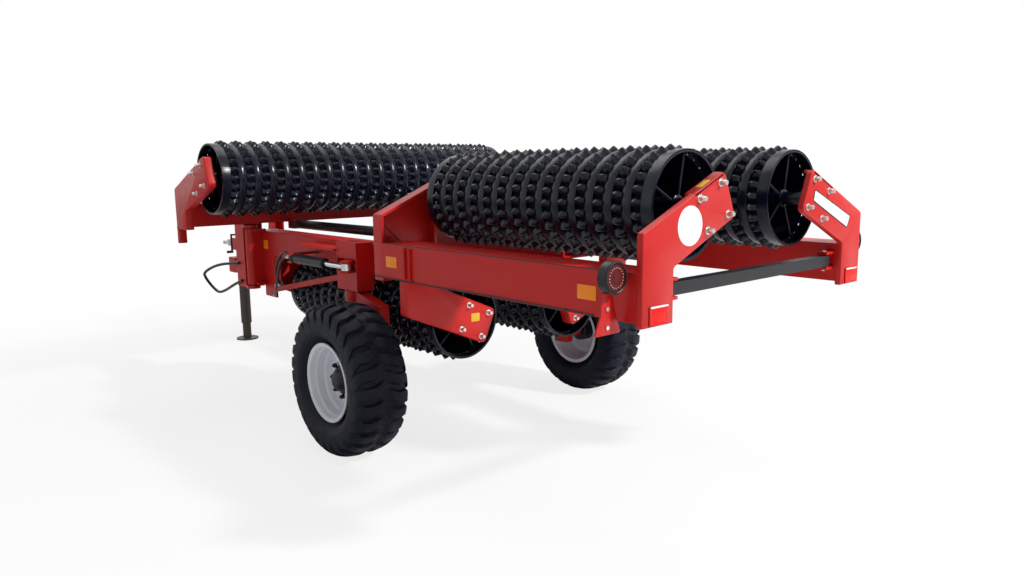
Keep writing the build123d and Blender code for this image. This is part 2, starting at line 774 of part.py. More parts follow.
def centre_section():
    """The cross beam with its cylinder ears, the two carriers that hold the
    hinges, and the two arm plates with the centre roll's bearings."""
    beam_rear = AXLE_Y + CENTRE_BEAM_REAR
    beam_front = beam_rear + CENTRE_BEAM_W
    low = CARRIER_TOP - CENTRE_BEAM_H
    reach = centre_half - CENTRE_PAN
    tilt_y = AXLE_Y + TILT_END[0]
    fold_y = AXLE_Y + FOLD_BASE[1]
    with BuildPart() as beam:
        block((-reach, reach), (beam_rear, beam_front), (low, CARRIER_TOP))
        for name, side in sides:
            x = side * FOLD_BASE[0]
            for level in (FOLD_Z - fold_ear_out, FOLD_Z + fold_ear_in):
                block(
                    (x - EYE_OUT_R, x + EYE_OUT_R),
                    (fold_y, beam_rear + PLATE),
                    (level, level + EAR_T),
                )
                with Locations((x, fold_y, level + EAR_T / 2)):
                    Cylinder(EYE_OUT_R, EAR_T)
            with Locations((x, fold_y, FOLD_Z)):
                Cylinder(EYE_HOLE_R - FIT, 2 * fold_ear_out)
            block(
                (x - EYE_OUT_R, x + EYE_OUT_R),
                (beam_rear, beam_rear + PLATE),
                (FOLD_Z - fold_ear_out, low),
            )
            lug = facing((1, 0, 0), (side * TILT_EAR_X - EAR_T / 2, 0, 0))
            corners = [
                (beam_front - PLATE, low + LUG_FOOT),
                (tilt_y + LUG_R, TILT_END[1] - LUG_R),
                (tilt_y + LUG_R, TILT_END[1] + LUG_R),
                (tilt_y - LUG_R, TILT_END[1] + LUG_R),
                (beam_front - PLATE, CARRIER_TOP),
            ]
            with BuildSketch(lug):
                Polygon(*on_plane(lug, corners), align=None)
            extrude(amount=EAR_T)
    finish("centre_beam", beam)

    pivot_y = AXLE_Y + PIVOT_FROM_AXLE
    carrier_front = beam_front + CARRIER_DEPTH
    hinge_foot = HINGE_TUBE_Z[0] - HINGE_GAP - HINGE_EAR_T
    hinge_head = HINGE_TUBE_Z[1] + HINGE_GAP
    for name, side in sides:
        hinge = (side * HINGE_X, hinge_y)
        with BuildPart() as carrier:
            block(
                (side * CARRIER_X[0], side * CARRIER_X[1]),
                (beam_front, carrier_front),
                (CARRIER_FOOT, CARRIER_TOP),
            )
            for level in (hinge_foot, hinge_head):
                with BuildSketch(Plane.XY.offset(level)):
                    with Locations(hinge):
                        Circle(HINGE_EAR_R)
                    with BuildLine():
                        Polyline(
                            (side * (HINGE_X - HINGE_EAR_R), hinge_y),
                            (side * (HINGE_X + HINGE_EAR_R), hinge_y),
                            (side * CARRIER_X[1], beam_front + PLATE),
                            (side * (CARRIER_X[1] - 2 * HINGE_EAR_R), beam_front + PLATE),
                            close=True,
                        )
                    make_face()
                extrude(amount=HINGE_EAR_T)
            with Locations((*hinge, (hinge_foot + hinge_head) / 2)):
                Cylinder(PIN_R - FIT, hinge_head - hinge_foot)
            for near in PIVOT_EARS:
                block(
                    (side * near, side * (near + PLATE)),
                    (carrier_front, pivot_y),
                    (DRAW_Z - PIVOT_BOSS, DRAW_Z + PIVOT_BOSS),
                )
                rod_along(
                    (side * near, pivot_y, DRAW_Z),
                    (side * (near + PLATE), pivot_y, DRAW_Z),
                    PIVOT_BOSS,
                )
            with BuildSketch(facing((side, 0, 0), (side * PIVOT_EARS[0], pivot_y, DRAW_Z))):
                Circle(PIVOT_R - FIT)
            extrude(amount=PIVOT_EARS[1] - PIVOT_EARS[0] + PLATE)
        finish(f"carrier_{name}", carrier)

    axis = (centre_roll_y, CENTRE_ROLL_Z)
    outline = arm_outline(
        axis, beam_rear, AXLE_Y + CENTRE_FRONT, low - ARM_FOOT, CENTRE_SLOPE, CENTRE_END, 1
    )
    with BuildPart() as arm:
        for name, side in sides:
            plane = facing((-side, 0, 0), (side * centre_half, 0, 0))
            pan(plane, on_plane(plane, outline), CENTRE_PAN)
            block(
                (side * centre_half, side * (centre_half - CENTRE_PAN)),
                (AXLE_Y + CENTRE_FRONT - FINGER_W, AXLE_Y + CENTRE_FRONT),
                (low - ARM_FOOT - FINGER_DROP, low - ARM_FOOT),
            )
    finish("centre_arms", arm)
    with BuildPart() as bearings:
        for name, side in sides:
            plane = facing((-side, 0, 0), (side * (centre_half - PLATE), 0, 0))
            spot = on_plane(plane, [axis])[0]
            origin = plane.from_local_coords((*spot, 0))
            turn = -plane.x_dir.Y * CENTRE_SLOPE
            housing(Plane(origin=origin, x_dir=plane.x_dir, z_dir=plane.z_dir), turn)
    finish("centre_bearings", bearings)


def drawbar():
    """The fixed front: pivot eyes, cross box, two side members and a nose, with
    the hitch eye, the tower of the tilting cylinder and the jack."""
    low = DRAW_Z - DRAW_H / 2
    high = DRAW_Z + DRAW_H / 2
    pivot_y = AXLE_Y + PIVOT_FROM_AXLE
    cross = AXLE_Y + CROSS_REAR
    start = (SIDE_START_X, cross + DRAW_H)
    end = (NOSE_HALF, AXLE_Y + SIDE_END)
    with BuildPart() as frame:
        block((-CROSS_HALF, CROSS_HALF), (cross, cross + DRAW_H), (low, high))
        block((-NOSE_HALF, NOSE_HALF), (AXLE_Y + NOSE_START, AXLE_Y + NOSE_END), (low, high))
        for name, side in sides:
            way = Vector(side * (end[0] - start[0]), end[1] - start[1]).normalized()
            across = Vector(-way.Y, way.X) * SIDE_W / 2
            back = Vector(side * start[0], start[1]) - way * SIDE_W
            front = Vector(side * end[0], end[1])
            corners = (back + across, front + across, front - across, back - across)
            with BuildSketch(Plane.XY.offset(low)):
                Polygon(*[(corner.X, corner.Y) for corner in corners], align=None)
            extrude(amount=DRAW_H)
            near = PIVOT_EARS[0] + PLATE + EYE_SIDE_GAP
            far = PIVOT_EARS[1] - EYE_SIDE_GAP
            plane = facing((side, 0, 0), (side * near, pivot_y, DRAW_Z))
            with BuildSketch(plane):
                Circle(PIVOT_BOSS - EYE_SIDE_GAP)
            extrude(amount=far - near)
            block(
                (side * near, side * far),
                (pivot_y, cross),
                (DRAW_Z - PIVOT_BOSS + EYE_SIDE_GAP, DRAW_Z + PIVOT_BOSS - EYE_SIDE_GAP),
            )
            with BuildSketch(plane):
                Circle(PIVOT_R)
            extrude(amount=far - near, mode=Mode.SUBTRACT)
    finish("drawbar_frame", frame)

    eye_y = AXLE_Y + EYE_FROM_AXLE
    with BuildPart() as hitch:
        with BuildSketch(Plane.XY.offset(DRAW_Z - EYE_T / 2)):
            with Locations((0, eye_y)):
                Circle(EYE_R)
        extrude(amount=EYE_T)
        block((-EYE_T, EYE_T), (AXLE_Y + NOSE_END, eye_y - EYE_BORE_R), (DRAW_Z - EYE_T, DRAW_Z + EYE_T))
        with Locations((0, eye_y, DRAW_Z)):
            Cylinder(EYE_BORE_R, 2 * EYE_T, mode=Mode.SUBTRACT)
    finish("hitch_eye", hitch)


def tower_and_cylinder():
    """The tower on the drawbar and the cylinder that tilts the machine."""
    high = DRAW_Z + DRAW_H / 2
    base_y = AXLE_Y + TILT_BASE[0]
    with BuildPart() as tower:
        for name, side in sides:
            plane = facing((1, 0, 0), (side * TILT_EAR_X - EAR_T / 2, 0, 0))
            corners = [
                (base_y - TILT_EYE_R, high),
                (base_y + TOWER_HALF, high),
                (base_y + TILT_EYE_R, TILT_BASE[1]),
                (base_y - TILT_EYE_R, TILT_BASE[1]),
            ]
            with BuildSketch(plane):
                Polygon(*on_plane(plane, corners), align=None)
                with Locations(on_plane(plane, [(base_y, TILT_BASE[1])])[0]):
                    Circle(TILT_EYE_R)
            extrude(amount=EAR_T)
        block(
            (-TILT_EAR_X, TILT_EAR_X),
            (base_y + TOWER_HALF / 2, base_y + TOWER_HALF / 2 + PLATE),
            (high, high + TOWER_WEB),
        )
        with BuildSketch(facing((1, 0, 0), (-TILT_EAR_X, base_y, TILT_BASE[1]))):
            Circle(TILT_HOLE_R - FIT)
        extrude(amount=2 * TILT_EAR_X)
    finish("tilt_tower", tower)

    base = (0, base_y, TILT_BASE[1])
    end = (0, AXLE_Y + TILT_END[0], TILT_END[1])
    cylinder_barrel("tilt_barrel", base, end, TILT_ROD_SHOWN, TILT_SIZES, (1, 0, 0))
    cylinder_rod("tilt_rod", base, end, TILT_ROD_IN, TILT_SIZES, (1, 0, 0))


def jack():
    """The parking jack on the nose: its tube with bracket and crank, and the leg
    with its foot, which slides up inside the tube."""
    y = AXLE_Y + JACK_FROM_AXLE
    low, top = JACK_TUBE_Z
    with BuildPart() as tube:
        with Locations((JACK_X, y, (low + top) / 2)):
            Cylinder(JACK_TUBE_R, top - low)
        block((JACK_X, -NOSE_HALF), (y - JACK_GRIP, y + JACK_GRIP), (DRAW_Z - JACK_GRIP, DRAW_Z + JACK_GRIP))
        with Locations((JACK_X, y, (low + JACK_BORE_TOP) / 2)):
            Cylinder(JACK_LEG_R + FIT, JACK_BORE_TOP - low, mode=Mode.SUBTRACT)
    finish("jack_tube", tube)

    with BuildPart() as crank:
        shaft_z = top - JACK_TUBE_R
        reach = JACK_X - JACK_TUBE_R - CRANK_OUT
        rod_along((JACK_X - JACK_TUBE_R, y, shaft_z), (reach, y, shaft_z), CRANK_ROD_R)
        rod_along((reach, y, shaft_z + CRANK_ROD_R), (reach, y, shaft_z - CRANK_ARM), CRANK_ROD_R)
        rod_along(
            (reach + CRANK_ROD_R, y, shaft_z - CRANK_ARM),
            (reach - CRANK_OUT, y, shaft_z - CRANK_ARM),
            1.5 * CRANK_ROD_R,
        )
    finish("jack_crank", crank)

    with BuildPart() as leg:
        with Locations((JACK_X, y, (FOOT_T + JACK_LEG_TOP) / 2)):
            Cylinder(JACK_LEG_R, JACK_LEG_TOP - FOOT_T)
        with Locations((JACK_X, y, FOOT_T / 2)):
            Cylinder(FOOT_R, FOOT_T)
    finish("jack_leg", leg)


def hose(name, radius, points):
    """A hose laid through its chosen points, each corner rounded as far as its runs allow."""
    spots = [Vector(x, AXLE_Y + y, z) for x, y, z in points]
    runs = [after - before for before, after in zip(spots, spots[1:])]
    radii = []
    for near, far in zip(runs, runs[1:]):
        turn = math.radians(near.get_angle(far))
        radii.append(HOSE_SHARE * min(near.length, far.length) / math.tan(turn / 2))
    print(name, "bend radii", [round(bend) for bend in radii])
    with BuildPart() as tube:
        with BuildLine() as way:
            FilletPolyline(*spots, radius=radii)
        with BuildSketch(Plane(origin=spots[0], z_dir=runs[0])) as section:
            Circle(radius)
        sweep(section.sketch, path=way.wires()[0])
    print(name, "length", round(way.wires()[0].length))
    finish(name, tube)


def tie_bar():
    """The square bar between the wings' rear ends, hinged on the left wing."""
    y = AXLE_Y + TIE_FROM_AXLE
    with BuildPart() as bar:
        block(
            (-TIE_X - TIE_SIZE / 2, TIE_END),
            (y - TIE_SIZE / 2, y + TIE_SIZE / 2),
            (TIE_Z - TIE_SIZE / 2, TIE_Z + TIE_SIZE / 2),
        )
        with Locations((-TIE_X, y, TIE_Z)):
            Cylinder(EYE_HOLE_R, TIE_SIZE, mode=Mode.SUBTRACT)
    finish("tie_bar", bar)


def upper_roll(name, side):
    """A wing's upper roll, with shaft stubs into the housings at both ends."""
    start = AXLE_Y + UPPER_ROLL_REAR
    length = roll_length(UPPER_STARS)
    rear = start - rear_web_y - PLATE - STUB_GAP
    front = AXLE_Y + FRONT_WEB - PLATE - start - length - STUB_GAP
    plane = Plane(origin=(side * ROLL_X, start, upper_z), x_dir=(1, 0, 0), z_dir=(0, 1, 0))
    toothed_roll(f"roll_upper_{name}", plane, UPPER_STARS, (rear, front))


def lower_roll(name, side):
    """A wing's lower roll, under the inner beam."""
    start = AXLE_Y + LOWER_ROLL_REAR
    length = roll_length(LOWER_STARS)
    rear = start - AXLE_Y - LOWER_WEB - PLATE - STUB_GAP
    front = AXLE_Y + LOWER_FRONT_WEB - PLATE - start - length - STUB_GAP
    plane = Plane(origin=(side * ROLL_X, start, lower_z), x_dir=(1, 0, 0), z_dir=(0, 1, 0))
    toothed_roll(f"roll_lower_{name}", plane, LOWER_STARS, (rear, front))


def centre_roll():
    """The roll across the front, above and behind the centre beam."""
    half = roll_length(CENTRE_STARS) / 2
    stub = centre_half - PLATE - half - STUB_GAP
    plane = Plane(origin=(-half, centre_roll_y, CENTRE_ROLL_Z), x_dir=(0, 1, 0), z_dir=(1, 0, 0))
    toothed_roll("roll_centre", plane, CENTRE_STARS, (stub, stub))


for name, side in sides:
    wheel(name, side)
    wheel_leg(name, side)
    wing_beams(name, side)
    arms(name, side)
    column(name, side)
    wing_cylinders(name, side)
    lamp(name, side)
    upper_roll(name, side)
    lower_roll(name, side)
centre_section()
centre_roll()
drawbar()
tower_and_cylinder()
jack()
tie_bar()
for name, radius, points in HOSES:
    hose(name, radius, points)
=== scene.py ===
"""A folding land roller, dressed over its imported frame: ring rolls, tyres, rims,
bolts, reflectors, lamps and paint. Metres, +Z up, +Y forward to the hitch."""
import json
import math

import bmesh
import bpy
import numpy as np
from mathutils import Matrix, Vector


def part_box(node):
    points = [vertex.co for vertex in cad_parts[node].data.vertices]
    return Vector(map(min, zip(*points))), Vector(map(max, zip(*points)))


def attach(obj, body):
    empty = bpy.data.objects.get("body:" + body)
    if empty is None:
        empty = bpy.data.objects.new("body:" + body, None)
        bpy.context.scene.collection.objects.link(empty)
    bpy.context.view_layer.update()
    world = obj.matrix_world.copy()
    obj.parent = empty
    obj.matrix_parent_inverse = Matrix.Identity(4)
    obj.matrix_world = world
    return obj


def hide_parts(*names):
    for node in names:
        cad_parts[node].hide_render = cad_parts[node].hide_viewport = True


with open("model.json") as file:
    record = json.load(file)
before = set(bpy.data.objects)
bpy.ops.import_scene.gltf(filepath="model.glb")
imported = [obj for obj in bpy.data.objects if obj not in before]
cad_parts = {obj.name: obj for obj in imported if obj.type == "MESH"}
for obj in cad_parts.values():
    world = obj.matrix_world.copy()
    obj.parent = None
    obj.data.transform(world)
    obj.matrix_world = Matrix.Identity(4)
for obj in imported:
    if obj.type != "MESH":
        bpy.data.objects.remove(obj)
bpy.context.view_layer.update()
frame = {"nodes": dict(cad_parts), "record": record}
nodes = frame["nodes"]
SIDES = (("left", -1), ("right", 1))
X_WAY, Y_WAY, Z_WAY = np.eye(3)


# Stations that the frame gives
def corners_of(node):
    """The low and the high corner of a solid's box."""
    low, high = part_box(node)
    return np.array(low), np.array(high)


def middle_of(node):
    """The middle of a solid's box."""
    low, high = corners_of(node)
    return (low + high) / 2


AXLE_Y, AXLE_Z = middle_of("tyre_left")[1:].tolist()
ROLL_X = middle_of("roll_upper_right")[0]
UPPER_Z = middle_of("roll_upper_right")[2]
LOWER_Z = middle_of("roll_lower_right")[2]
BEAM_FACE = corners_of("beam_outer_right")[1][0]
REAR_FACE = corners_of("arm_rear_right")[0][1]


# Small helpers for surfaces
def unit(vector):
    """The vector divided by its own length."""
    vector = np.asarray(vector, float)
    return vector / np.linalg.norm(vector)


def axes_of(direction):
    """Two unit vectors square to a direction, then the direction itself."""
    ahead = unit(direction)
    reference = (0, 0, 1) if abs(ahead[2]) < 0.9 else (0, 1, 0)
    side = unit(np.cross(reference, ahead))
    return side, np.cross(ahead, side), ahead


def grid_faces(rows, columns, wrap_rows, wrap_columns):
    """Quads between neighbours of a grid of points; a wrapped way joins its ends."""
    i = np.arange(rows if wrap_rows else rows - 1)
    j = np.arange(columns if wrap_columns else columns - 1)
    i, j = (a.ravel() for a in np.meshgrid(i, j, indexing="ij"))
    near, far = i * columns, (i + 1) % rows * columns
    after = (j + 1) % columns
    return np.stack([near + j, near + after, far + after, far + j], axis=1)


def turned(profile, origin, direction, segments, phase=0.0):
    """A surface of revolution. Row u, column v is the origin, plus the profile's
    distance along the axis, plus its radius times (cos u, sin u) across it."""
    side, up, ahead = axes_of(direction)
    along, radius = np.asarray(profile, float).T
    angle = phase + np.arange(segments) * 2 * math.pi / segments
    ring = np.cos(angle)[:, None] * side + np.sin(angle)[:, None] * up
    points = (
        np.asarray(origin, float)
        + along[None, :, None] * ahead
        + radius[None, :, None] * ring[:, None, :]
    )
    return points.reshape(-1, 3), grid_faces(segments, len(profile), True, False)


def ring_turned(profile, origin, direction, segments):
    """The same for a closed profile, so that its last point joins its first."""
    points, _ = turned(profile, origin, direction, segments)
    return points, grid_faces(segments, len(profile), True, True)


def rounded_section(width, height, radius, steps=4):
    """A rectangle whose four corners are quarter circles."""
    radius = min(radius, 0.499 * min(width, height))
    angle = np.linspace(0, math.pi / 2, steps)
    points = []
    for k, (x, y) in enumerate(((1, 1), (-1, 1), (-1, -1), (1, -1))):
        centre = (x * (width / 2 - radius), y * (height / 2 - radius))
        a = angle + k * math.pi / 2
        points += list(zip(centre[0] + radius * np.cos(a), centre[1] + radius * np.sin(a)))
    return points


def bar(start, end, width, height, radius, up=(0, 0, 1)):
    """A straight bar of rounded rectangular section; its ends are drawn in a
    little over the last stretch, as a small chamfer."""
    start, end = np.asarray(start, float), np.asarray(end, float)
    ahead = unit(end - start)
    side = unit(np.cross(ahead, up))
    lift = np.cross(side, ahead)
    length = np.linalg.norm(end - start)
    chamfer = min(radius * 0.6, length / 4)
    shrink = (chamfer, 0, 0, chamfer)
    along = (0, chamfer, length - chamfer, length)
    rows = []
    for distance, less in zip(along, shrink):
        section = np.array(rounded_section(width - 2 * less, height - 2 * less, radius))
        rows.append(start + distance * ahead + section[:, :1] * side + section[:, 1:] * lift)
    rows = [np.repeat(rows[0].mean(0)[None], len(rows[0]), 0)] + rows
    rows.append(np.repeat(rows[-1].mean(0)[None], len(rows[-1]), 0))
    points = np.array(rows)
    return points.reshape(-1, 3), grid_faces(len(rows), points.shape[1], False, True)


def rounded_loop(corners, radii, steps=6):
    """A flat outline with each corner replaced by an arc of its own radius, or
    less where its two edges are short; one radius may serve all corners."""
    corners = np.asarray(corners, float)
    radii = np.broadcast_to(radii, len(corners))
    previous, following = np.roll(corners, 1, 0), np.roll(corners, -1, 0)
    loop = []
    for before, here, after, radius in zip(previous, corners, following, radii):
        back, on = unit(before - here), unit(after - here)
        half = math.acos(float(np.clip(back @ on, -1, 1))) / 2
        shorter = min(np.linalg.norm(before - here), np.linalg.norm(after - here))
        reach = min(radius / math.tan(half), 0.45 * shorter)
        middle = here + unit(back + on) * reach / math.cos(half)
        first, last = here + back * reach - middle, here + on * reach - middle
        span = math.pi - 2 * half
        for k in np.linspace(0, 1, steps):
            between = math.sin((1 - k) * span) * first + math.sin(k * span) * last
            loop.append(middle + between / math.sin(span))
    return np.array(loop)


def inset(loop, distance):
    """A flat loop drawn in by a distance, each point along the mean of its two
    edges' inward normals."""
    edges = np.roll(loop, -1, 0) - loop
    edges /= np.linalg.norm(edges, axis=1)[:, None]
    area = np.sum(loop[:, 0] * np.roll(loop[:, 1], -1) - np.roll(loop[:, 0], -1) * loop[:, 1])
    inward = np.stack([-edges[:, 1], edges[:, 0]], axis=1) * math.copysign(1, area)
    before = np.roll(inward, 1, 0)
    return loop + distance * (inward + before) / (1 + np.sum(inward * before, axis=1))[:, None]


def stacked(loop, rows, origin, across, up, ahead):
    """A solid between flat loops: each row is the loop drawn in by its first
    number and moved along ahead by its second; the first and last rows are faces."""
    levels = []
    for less, level in rows:
        ring = inset(loop, less) if less else loop
        base = np.asarray(origin) + level * np.asarray(ahead, float)
        levels.append(base + ring[:, :1] * across + ring[:, 1:] * up)
    points = np.array(levels)
    count = len(loop)
    faces = grid_faces(len(rows), count, False, True).tolist()
    faces += [list(range(count)), [(len(rows) - 1) * count + k for k in range(count)]]
    return points.reshape(-1, 3), faces


def folded_plate(corners, origin, across, up, ahead, depth, corner):
    """A plate whose whole edge is folded back by depth, with a rounded bend."""
    wall, bend, soft = 0.015, 0.006, 0.001
    rows = [(bend, 0), (0.3 * bend, 0.3 * bend), (0, bend), (0, depth - soft), (soft, depth)]
    rows += [(wall - soft, depth), (wall, depth - soft), (wall, wall)]
    return stacked(rounded_loop(corners, corner), rows, origin, across, up, ahead)


def flat_plate(corners, origin, across, up, ahead, depth, corner, bend=0.001):
    """A flat plate with rounded corners and softened edges."""
    rows = [(bend, 0), (0.3 * bend, 0.3 * bend), (0, bend)]
    rows += [(0, depth - bend), (0.3 * bend, depth - 0.3 * bend), (bend, depth)]
    return stacked(rounded_loop(corners, corner), rows, origin, across, up, ahead)


def joined(surfaces):
    """Several (points, faces) pairs as one pair; a face may have any number of corners."""
    points, faces, first = [], [], 0
    for some_points, some_faces in surfaces:
        points.append(np.asarray(some_points, float))
        faces += [[int(corner) + first for corner in face] for face in some_faces]
        first += len(some_points)
    return np.concatenate(points), faces


def placed(name, data):
    """A new object at the origin, linked to the scene."""
    item = bpy.data.objects.new(name, data)
    bpy.context.scene.collection.objects.link(item)
    return item


def piece(name, surfaces, material, body, replaced=(), smooth_angle=35):
    """Puts surfaces into one mesh, closes its seams and poles, turns its faces
    outwards and lets it ride on its body."""
    points, faces = joined(surfaces)
    mesh = bpy.data.meshes.new(name)
    mesh.from_pydata(points.tolist(), [], faces)
    work = bmesh.new()
    work.from_mesh(mesh)
    bmesh.ops.remove_doubles(work, verts=work.verts, dist=1e-5)
    bmesh.ops.dissolve_degenerate(work, edges=work.edges, dist=1e-6)
    bmesh.ops.recalc_face_normals(work, faces=work.faces)
    work.to_mesh(mesh)
    work.free()
    mesh.materials.append(material)
    mesh.shade_smooth()
    mesh.set_sharp_from_angle(angle=math.radians(smooth_angle))
    item = placed(name, mesh)
    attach(item, body)
    if replaced:
        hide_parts(*replaced)


# Shared effects, as node groups
def new_group(name, inputs, outputs):
    """An empty shader group with named sockets."""
    group = bpy.data.node_groups.new(name, "ShaderNodeTree")
    for label, kind, value in inputs:
        socket = group.interface.new_socket(name=label, in_out="INPUT", socket_type=kind)
        socket.default_value = value
    for label, kind in outputs:
        group.interface.new_socket(name=label, in_out="OUTPUT", socket_type=kind)
    entry = group.nodes.new("NodeGroupInput")
    leave = group.nodes.new("NodeGroupOutput")
    return group, entry, leave


def noise(tree, vector, scale, detail=4.0, roughness=0.55):
    """A noise texture on object coordinates; its factor output."""
    node = tree.nodes.new("ShaderNodeTexNoise")
    node.inputs["Scale"].default_value = scale
    node.inputs["Detail"].default_value = detail
    node.inputs["Roughness"].default_value = roughness
    tree.links.new(vector, node.inputs["Vector"])
    return node.outputs["Fac"]


def ramp(tree, value, low, high, to_low=0.0, to_high=1.0):
    """A value carried from one range to another and held at its ends."""
    node = tree.nodes.new("ShaderNodeMapRange")
    for label, number in (("From Min", low), ("From Max", high), ("To Min", to_low), ("To Max", to_high)):
        node.inputs[label].default_value = number
    tree.links.new(value, node.inputs["Value"])
    return node.outputs["Result"]


def maths(tree, how, first, second):
    """Two values through one sum; either may be a number."""
    node = tree.nodes.new("ShaderNodeMath")
    node.operation = how
    for k, value in enumerate((first, second)):
        if isinstance(value, (int, float)):
            node.inputs[k].default_value = value
        else:
            tree.links.new(value, node.inputs[k])
    return node.outputs[0]


def mixed(tree, factor, first, second):
    """A colour between two, each a socket or a plain colour."""
    node = tree.nodes.new("ShaderNodeMix")
    node.data_type = "RGBA"
    tree.links.new(factor, node.inputs["Factor"])
    for label, value in (("A", first), ("B", second)):
        socket = [s for s in node.inputs if s.name == label and s.type == "RGBA"][0]
        if isinstance(value, tuple):
            socket.default_value = value
        else:
            tree.links.new(value, socket)
    return [s for s in node.outputs if s.type == "RGBA"][0]


def dusty_group():
    """Colour with field dust: more on faces that look up, broken by two noises,
    and a slow change of the colour itself over the surface. Roughness grows with
    the dust and wavers a little, and Height is a fine grain."""
    group, entry, leave = new_group(
        "dusty finish",
        (
            ("Color", "NodeSocketColor", (0.5, 0.5, 0.5, 1)),
            ("Dust Color", "NodeSocketColor", (0.35, 0.3, 0.24, 1)),
            ("Dust", "NodeSocketFloat", 0.3),
            ("Variation", "NodeSocketFloat", 0.15),
            ("Roughness", "NodeSocketFloat", 0.4),
        ),
        (("Color", "NodeSocketColor"), ("Roughness", "NodeSocketFloat"), ("Height", "NodeSocketFloat")),
    )
    where = group.nodes.new("ShaderNodeTexCoord").outputs["Object"]
    normal = group.nodes.new("ShaderNodeNewGeometry").outputs["Normal"]
    split = group.nodes.new("ShaderNodeSeparateXYZ")
    group.links.new(normal, split.inputs[0])
    upward = ramp(group, split.outputs["Z"], -0.2, 1.0, 0.25, 1.0)
    broad = ramp(group, noise(group, where, 3.0), 0.35, 0.7)
    fine = ramp(group, noise(group, where, 60.0, 6.0, 0.7), 0.3, 0.75)
    spots = maths(group, "MULTIPLY", maths(group, "MULTIPLY", upward, broad), fine)
    mask = maths(group, "MULTIPLY", spots, entry.outputs["Dust"])
    slow = ramp(group, noise(group, where, 1.7, 3.0), 0.3, 0.7, -1, 1)
    shade = maths(group, "MULTIPLY", slow, entry.outputs["Variation"])
    bright = group.nodes.new("ShaderNodeHueSaturation")
    group.links.new(maths(group, "ADD", shade, 1.0), bright.inputs["Value"])
    group.links.new(entry.outputs["Color"], bright.inputs["Color"])
    dusted = mixed(group, mask, bright.outputs[0], entry.outputs["Dust Color"])
    group.links.new(dusted, leave.inputs["Color"])
    scuffed = maths(group, "ADD", entry.outputs["Roughness"], maths(group, "MULTIPLY", mask, 0.5))
    worn = maths(group, "ADD", scuffed, ramp(group, noise(group, where, 25.0), 0.3, 0.7, -0.05, 0.06))
    group.links.new(worn, leave.inputs["Roughness"])
    group.links.new(noise(group, where, 220.0, 3.0), leave.inputs["Height"])
    return group


DUSTY = dusty_group()


def finish_of(
    name, color, roughness, dust, variation, bump=0.0004, metal=0.0, coat=0.0, edge=0.0, shine=0.3
):
    """A material on the dusty group; edge rounds a CAD piece's sharp edges."""
    material = bpy.data.materials.new(name)
    material.use_nodes = True
    tree = material.node_tree
    shader = tree.nodes["Principled BSDF"]
    group = tree.nodes.new("ShaderNodeGroup")
    group.node_tree = DUSTY
    group.inputs["Color"].default_value = (*color, 1)
    group.inputs["Dust"].default_value = dust
    group.inputs["Variation"].default_value = variation
    group.inputs["Roughness"].default_value = roughness
    tree.links.new(group.outputs["Color"], shader.inputs["Base Color"])
    tree.links.new(group.outputs["Roughness"], shader.inputs["Roughness"])
    shader.inputs["Metallic"].default_value = metal
    shader.inputs["Coat Weight"].default_value = coat
    shader.inputs["Coat Roughness"].default_value = 0.15
    shader.inputs["Specular IOR Level"].default_value = shine
    relief = tree.nodes.new("ShaderNodeBump")
    relief.inputs["Distance"].default_value = bump
    tree.links.new(group.outputs["Height"], relief.inputs["Height"])
    if edge:
        soft = tree.nodes.new("ShaderNodeBevel")
        soft.samples = 4
        soft.inputs["Radius"].default_value = edge
        tree.links.new(soft.outputs[0], relief.inputs["Normal"])
    tree.links.new(relief.outputs[0], shader.inputs["Normal"])
    return material


# Each finish by its colour, roughness, dust and how far its colour wavers
RED = finish_of("red gloss paint", (0.5, 0.0075, 0.0055), 0.4, 0.02, 0.07, coat=0.06, edge=0.006)
ROLL = finish_of("black ring coating", (0.0032, 0.005, 0.0135), 0.2, 0.02, 0.25, shine=0.26)
TYRE = finish_of("weathered tyre", (0.0065, 0.0085, 0.017), 0.5, 0.05, 0.15, bump=0.001, shine=0.14)
WHITE = finish_of("white rim paint", (0.74, 0.76, 0.82), 0.35, 0.06, 0.05, coat=0.3)
BLACK = finish_of("satin black paint", (0.007, 0.007, 0.01), 0.34, 0.03, 0.1, edge=0.002)
OLIVE = finish_of("dark olive paint", (0.05, 0.045, 0.035), 0.4, 0.15, 0.15, edge=0.003)
CHROME = finish_of("bright rod", (0.75, 0.76, 0.78), 0.1, 0.02, 0.03, metal=1.0)
ZINC = finish_of("zinc plate", (0.62, 0.62, 0.6), 0.3, 0.05, 0.08, metal=0.85)
AMBER = finish_of("amber reflector", (0.95, 0.27, 0.004), 0.3, 0.02, 0.12, coat=0.1)
LENS = finish_of("red lens", (0.085, 0.008, 0.007), 0.35, 0.02, 0.3, shine=0.15)
GLOW = finish_of("red reflector", (0.9, 0.008, 0.003), 0.3, 0.01, 0.1, shine=0.15)
# The white film also makes the painted highlight bar above each red reflector.
LABEL_AND_HIGHLIGHT = finish_of("white film and painted highlight", (0.82, 0.82, 0.81), 0.42, 0.03, 0.02)
# The black film also makes the painted shade line along the left outer beam's top edge.
EDGING_AND_SHADE = finish_of("black film and painted shade", (0.02, 0.02, 0.02), 0.4, 0.05, 0.05)
STICKER = finish_of("yellow film", (0.7, 0.42, 0.03), 0.4, 0.06, 0.1)
HOSE = finish_of("hose rubber", (0.008, 0.008, 0.01), 0.4, 0.03, 0.1, bump=0.0003)

# What each CAD node that stays on show is painted with
PAINT = {
    "red_paint": RED, "black_paint": BLACK, "chrome": CHROME, "zinc_steel": ZINC, "roll_iron": ROLL,
    "tyre_rubber": TYRE, "rim_paint": WHITE, "lamp_lens": LENS, "hose_rubber": HOSE,
}
OWN_PAINT = {"jack_tube": OLIVE, "jack_leg": OLIVE, "jack_crank": BLACK}
for part in frame["record"]["subparts"]:
    skin = nodes[part["node"]].data.materials
    skin.clear()
    skin.append(OWN_PAINT.get(part["node"], PAINT[part["material_slot"]]))


